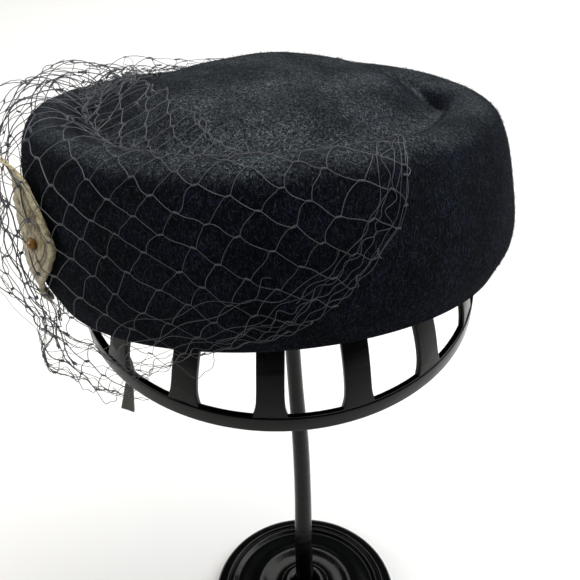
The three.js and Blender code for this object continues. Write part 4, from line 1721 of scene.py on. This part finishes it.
class HAT_OT_foot(bpy.types.Operator):
    """Makes the stand's turned foot with its grooves, wave and collar"""

    bl_idname = "hat.foot"
    bl_label = "Stand foot"

    def execute(self, context):
        corners = np.stack([column(FOOT_PROFILE, "r"), column(FOOT_PROFILE, "z")], -1)
        count = len(corners)
        way = np.linspace(0, count - 3, (count - 3) * 8 + 1)
        smooth = catmull_rom(corners, way)
        profile = np.concatenate([smooth, corners[-2:]])
        profile[:, 1] = np.maximum(profile[:, 1], 0)
        points, faces = turned(profile, 180, closed=False)
        piece = mesh_object("stand_turned_foot", points, faces, stand_material(context))
        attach(piece, BODY)
        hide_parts("stand_foot")
        return {"FINISHED"}


# ---- the stage --------------------------------------------------------------------------------


class HatStageSettings(bpy.types.PropertyGroup):
    floor_colour: colour_setting("Floor", "Colour of the floor card", "#fbfbfa")
    eye: bpy.props.FloatVectorProperty(
        name="Eye", description="Where the camera stands", default=(-0.008744, -0.377456, 0.592399),
        subtype="TRANSLATION", unit="LENGTH",
    )
    pitch: bpy.props.FloatProperty(
        name="Pitch", description="The camera's turn up from straight down",
        default=math.radians(47.5), subtype="ANGLE", unit="ROTATION",
    )
    lens: bpy.props.FloatProperty(
        name="Lens", description="Focal length in millimetres on a 36 mm sensor", default=71.38,
    )


FLOOR_HALF = 6000
FLOOR_HEIGHT = -0.2

# Each light's name, place and size in metres, watts and colour.
LIGHTS = [
    ("top_softbox", (0.15, 0.3, 1.35), (1.3, 1.1), 22, "#fffefb"),
    ("window_side", (0.95, 0.25, 0.95), (0.6, 0.8), 7, "#f6f9ff"),
    ("fill_side", (-1.0, -0.3, 0.8), (0.5, 0.8), 5, "#fffaf2"),
]


def soft_light(name, place, size, watts, colour, target):
    """A rectangular area light aimed at a point."""
    data = bpy.data.lights.new(name, "AREA")
    data.shape = "RECTANGLE"
    data.size, data.size_y = size
    data.energy = watts
    data.color = hex_colour(colour)[:3]
    light = place_object(name, data)
    light.location = place
    light.rotation_euler = (Vector(target) - Vector(place)).to_track_quat("-Z", "Y").to_euler()


class HAT_OT_stage(bpy.types.Operator):
    """Lays the floor and sets the lights and the camera"""

    bl_idname = "hat.stage"
    bl_label = "Stage"

    def execute(self, context):
        scene = context.scene
        settings = scene.hat_stage
        signs = ((-1, -1), (1, -1), (1, 1), (-1, 1))
        corners = [(FLOOR_HALF * x, FLOOR_HALF * y, FLOOR_HEIGHT) for x, y in signs]
        card = matt_card((*settings.floor_colour, 1.0))
        floor = mesh_object("floor_card", corners, [[0, 1, 2, 3]], card, smooth=False)
        world = bpy.data.worlds.new("soft_room")
        world.use_nodes = True
        sky = world.node_tree.nodes["Background"]
        sky.inputs["Color"].default_value = hex_colour("#fbfcff")
        sky.inputs["Strength"].default_value = 0.08
        scene.world = world
        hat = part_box("felt_crown")
        target = (hat[0] + hat[1]) / 2
        for light in LIGHTS:
            soft_light(*light, target)
        data = bpy.data.cameras.new("camera")
        data.lens = settings.lens
        data.sensor_width = 36
        data.clip_start = 0.01
        camera = place_object("camera", data)
        camera.location = settings.eye
        camera.rotation_euler = (settings.pitch, 0, 0)
        scene.camera = camera
        scene.view_settings.view_transform = "Standard"
        return {"FINISHED"}


# ---- the add-on -------------------------------------------------------------------------------


class HAT_PT_panel(bpy.types.Panel):
    """Lists the hat's pieces in the 3D view's sidebar"""

    bl_idname = "HAT_PT_panel"
    bl_label = "Pillbox hat"
    bl_space_type = "VIEW_3D"
    bl_region_type = "UI"
    bl_category = "Hat"

    def draw(self, context):
        layout = self.layout
        for maker in OPERATORS:
            layout.operator(maker.bl_idname, text=maker.bl_label)
        for name in SETTINGS:
            group = getattr(context.scene, name)
            box = layout.box()
            for key in group.__annotations__:
                box.prop(group, key)


SETTINGS = {
    "hat_felt": HatFeltSettings,
    "hat_veil": HatVeilSettings,
    "hat_trim": HatTrimSettings,
    "hat_stand": HatStandSettings,
    "hat_stage": HatStageSettings,
}
OPERATORS = [
    HAT_OT_stage,
    HAT_OT_felt,
    HAT_OT_nap,
    HAT_OT_veil,
    HAT_OT_leaf,
    HAT_OT_bead,
    HAT_OT_tail,
    HAT_OT_dome,
    HAT_OT_stem,
    HAT_OT_foot,
]


def register():
    for item in (*SETTINGS.values(), *OPERATORS, HAT_PT_panel):
        bpy.utils.register_class(item)
    for name, group in SETTINGS.items():
        setattr(bpy.types.Scene, name, bpy.props.PointerProperty(type=group))


def unregister():
    for name in SETTINGS:
        delattr(bpy.types.Scene, name)
    for item in reversed((*SETTINGS.values(), *OPERATORS, HAT_PT_panel)):
        bpy.utils.unregister_class(item)


def main():
    register()
    for maker in OPERATORS:
        group, name = maker.bl_idname.split(".")
        getattr(getattr(bpy.ops, group), name)()
    bpy.context.view_layer.update()


if __name__ == "__main__":
    main()
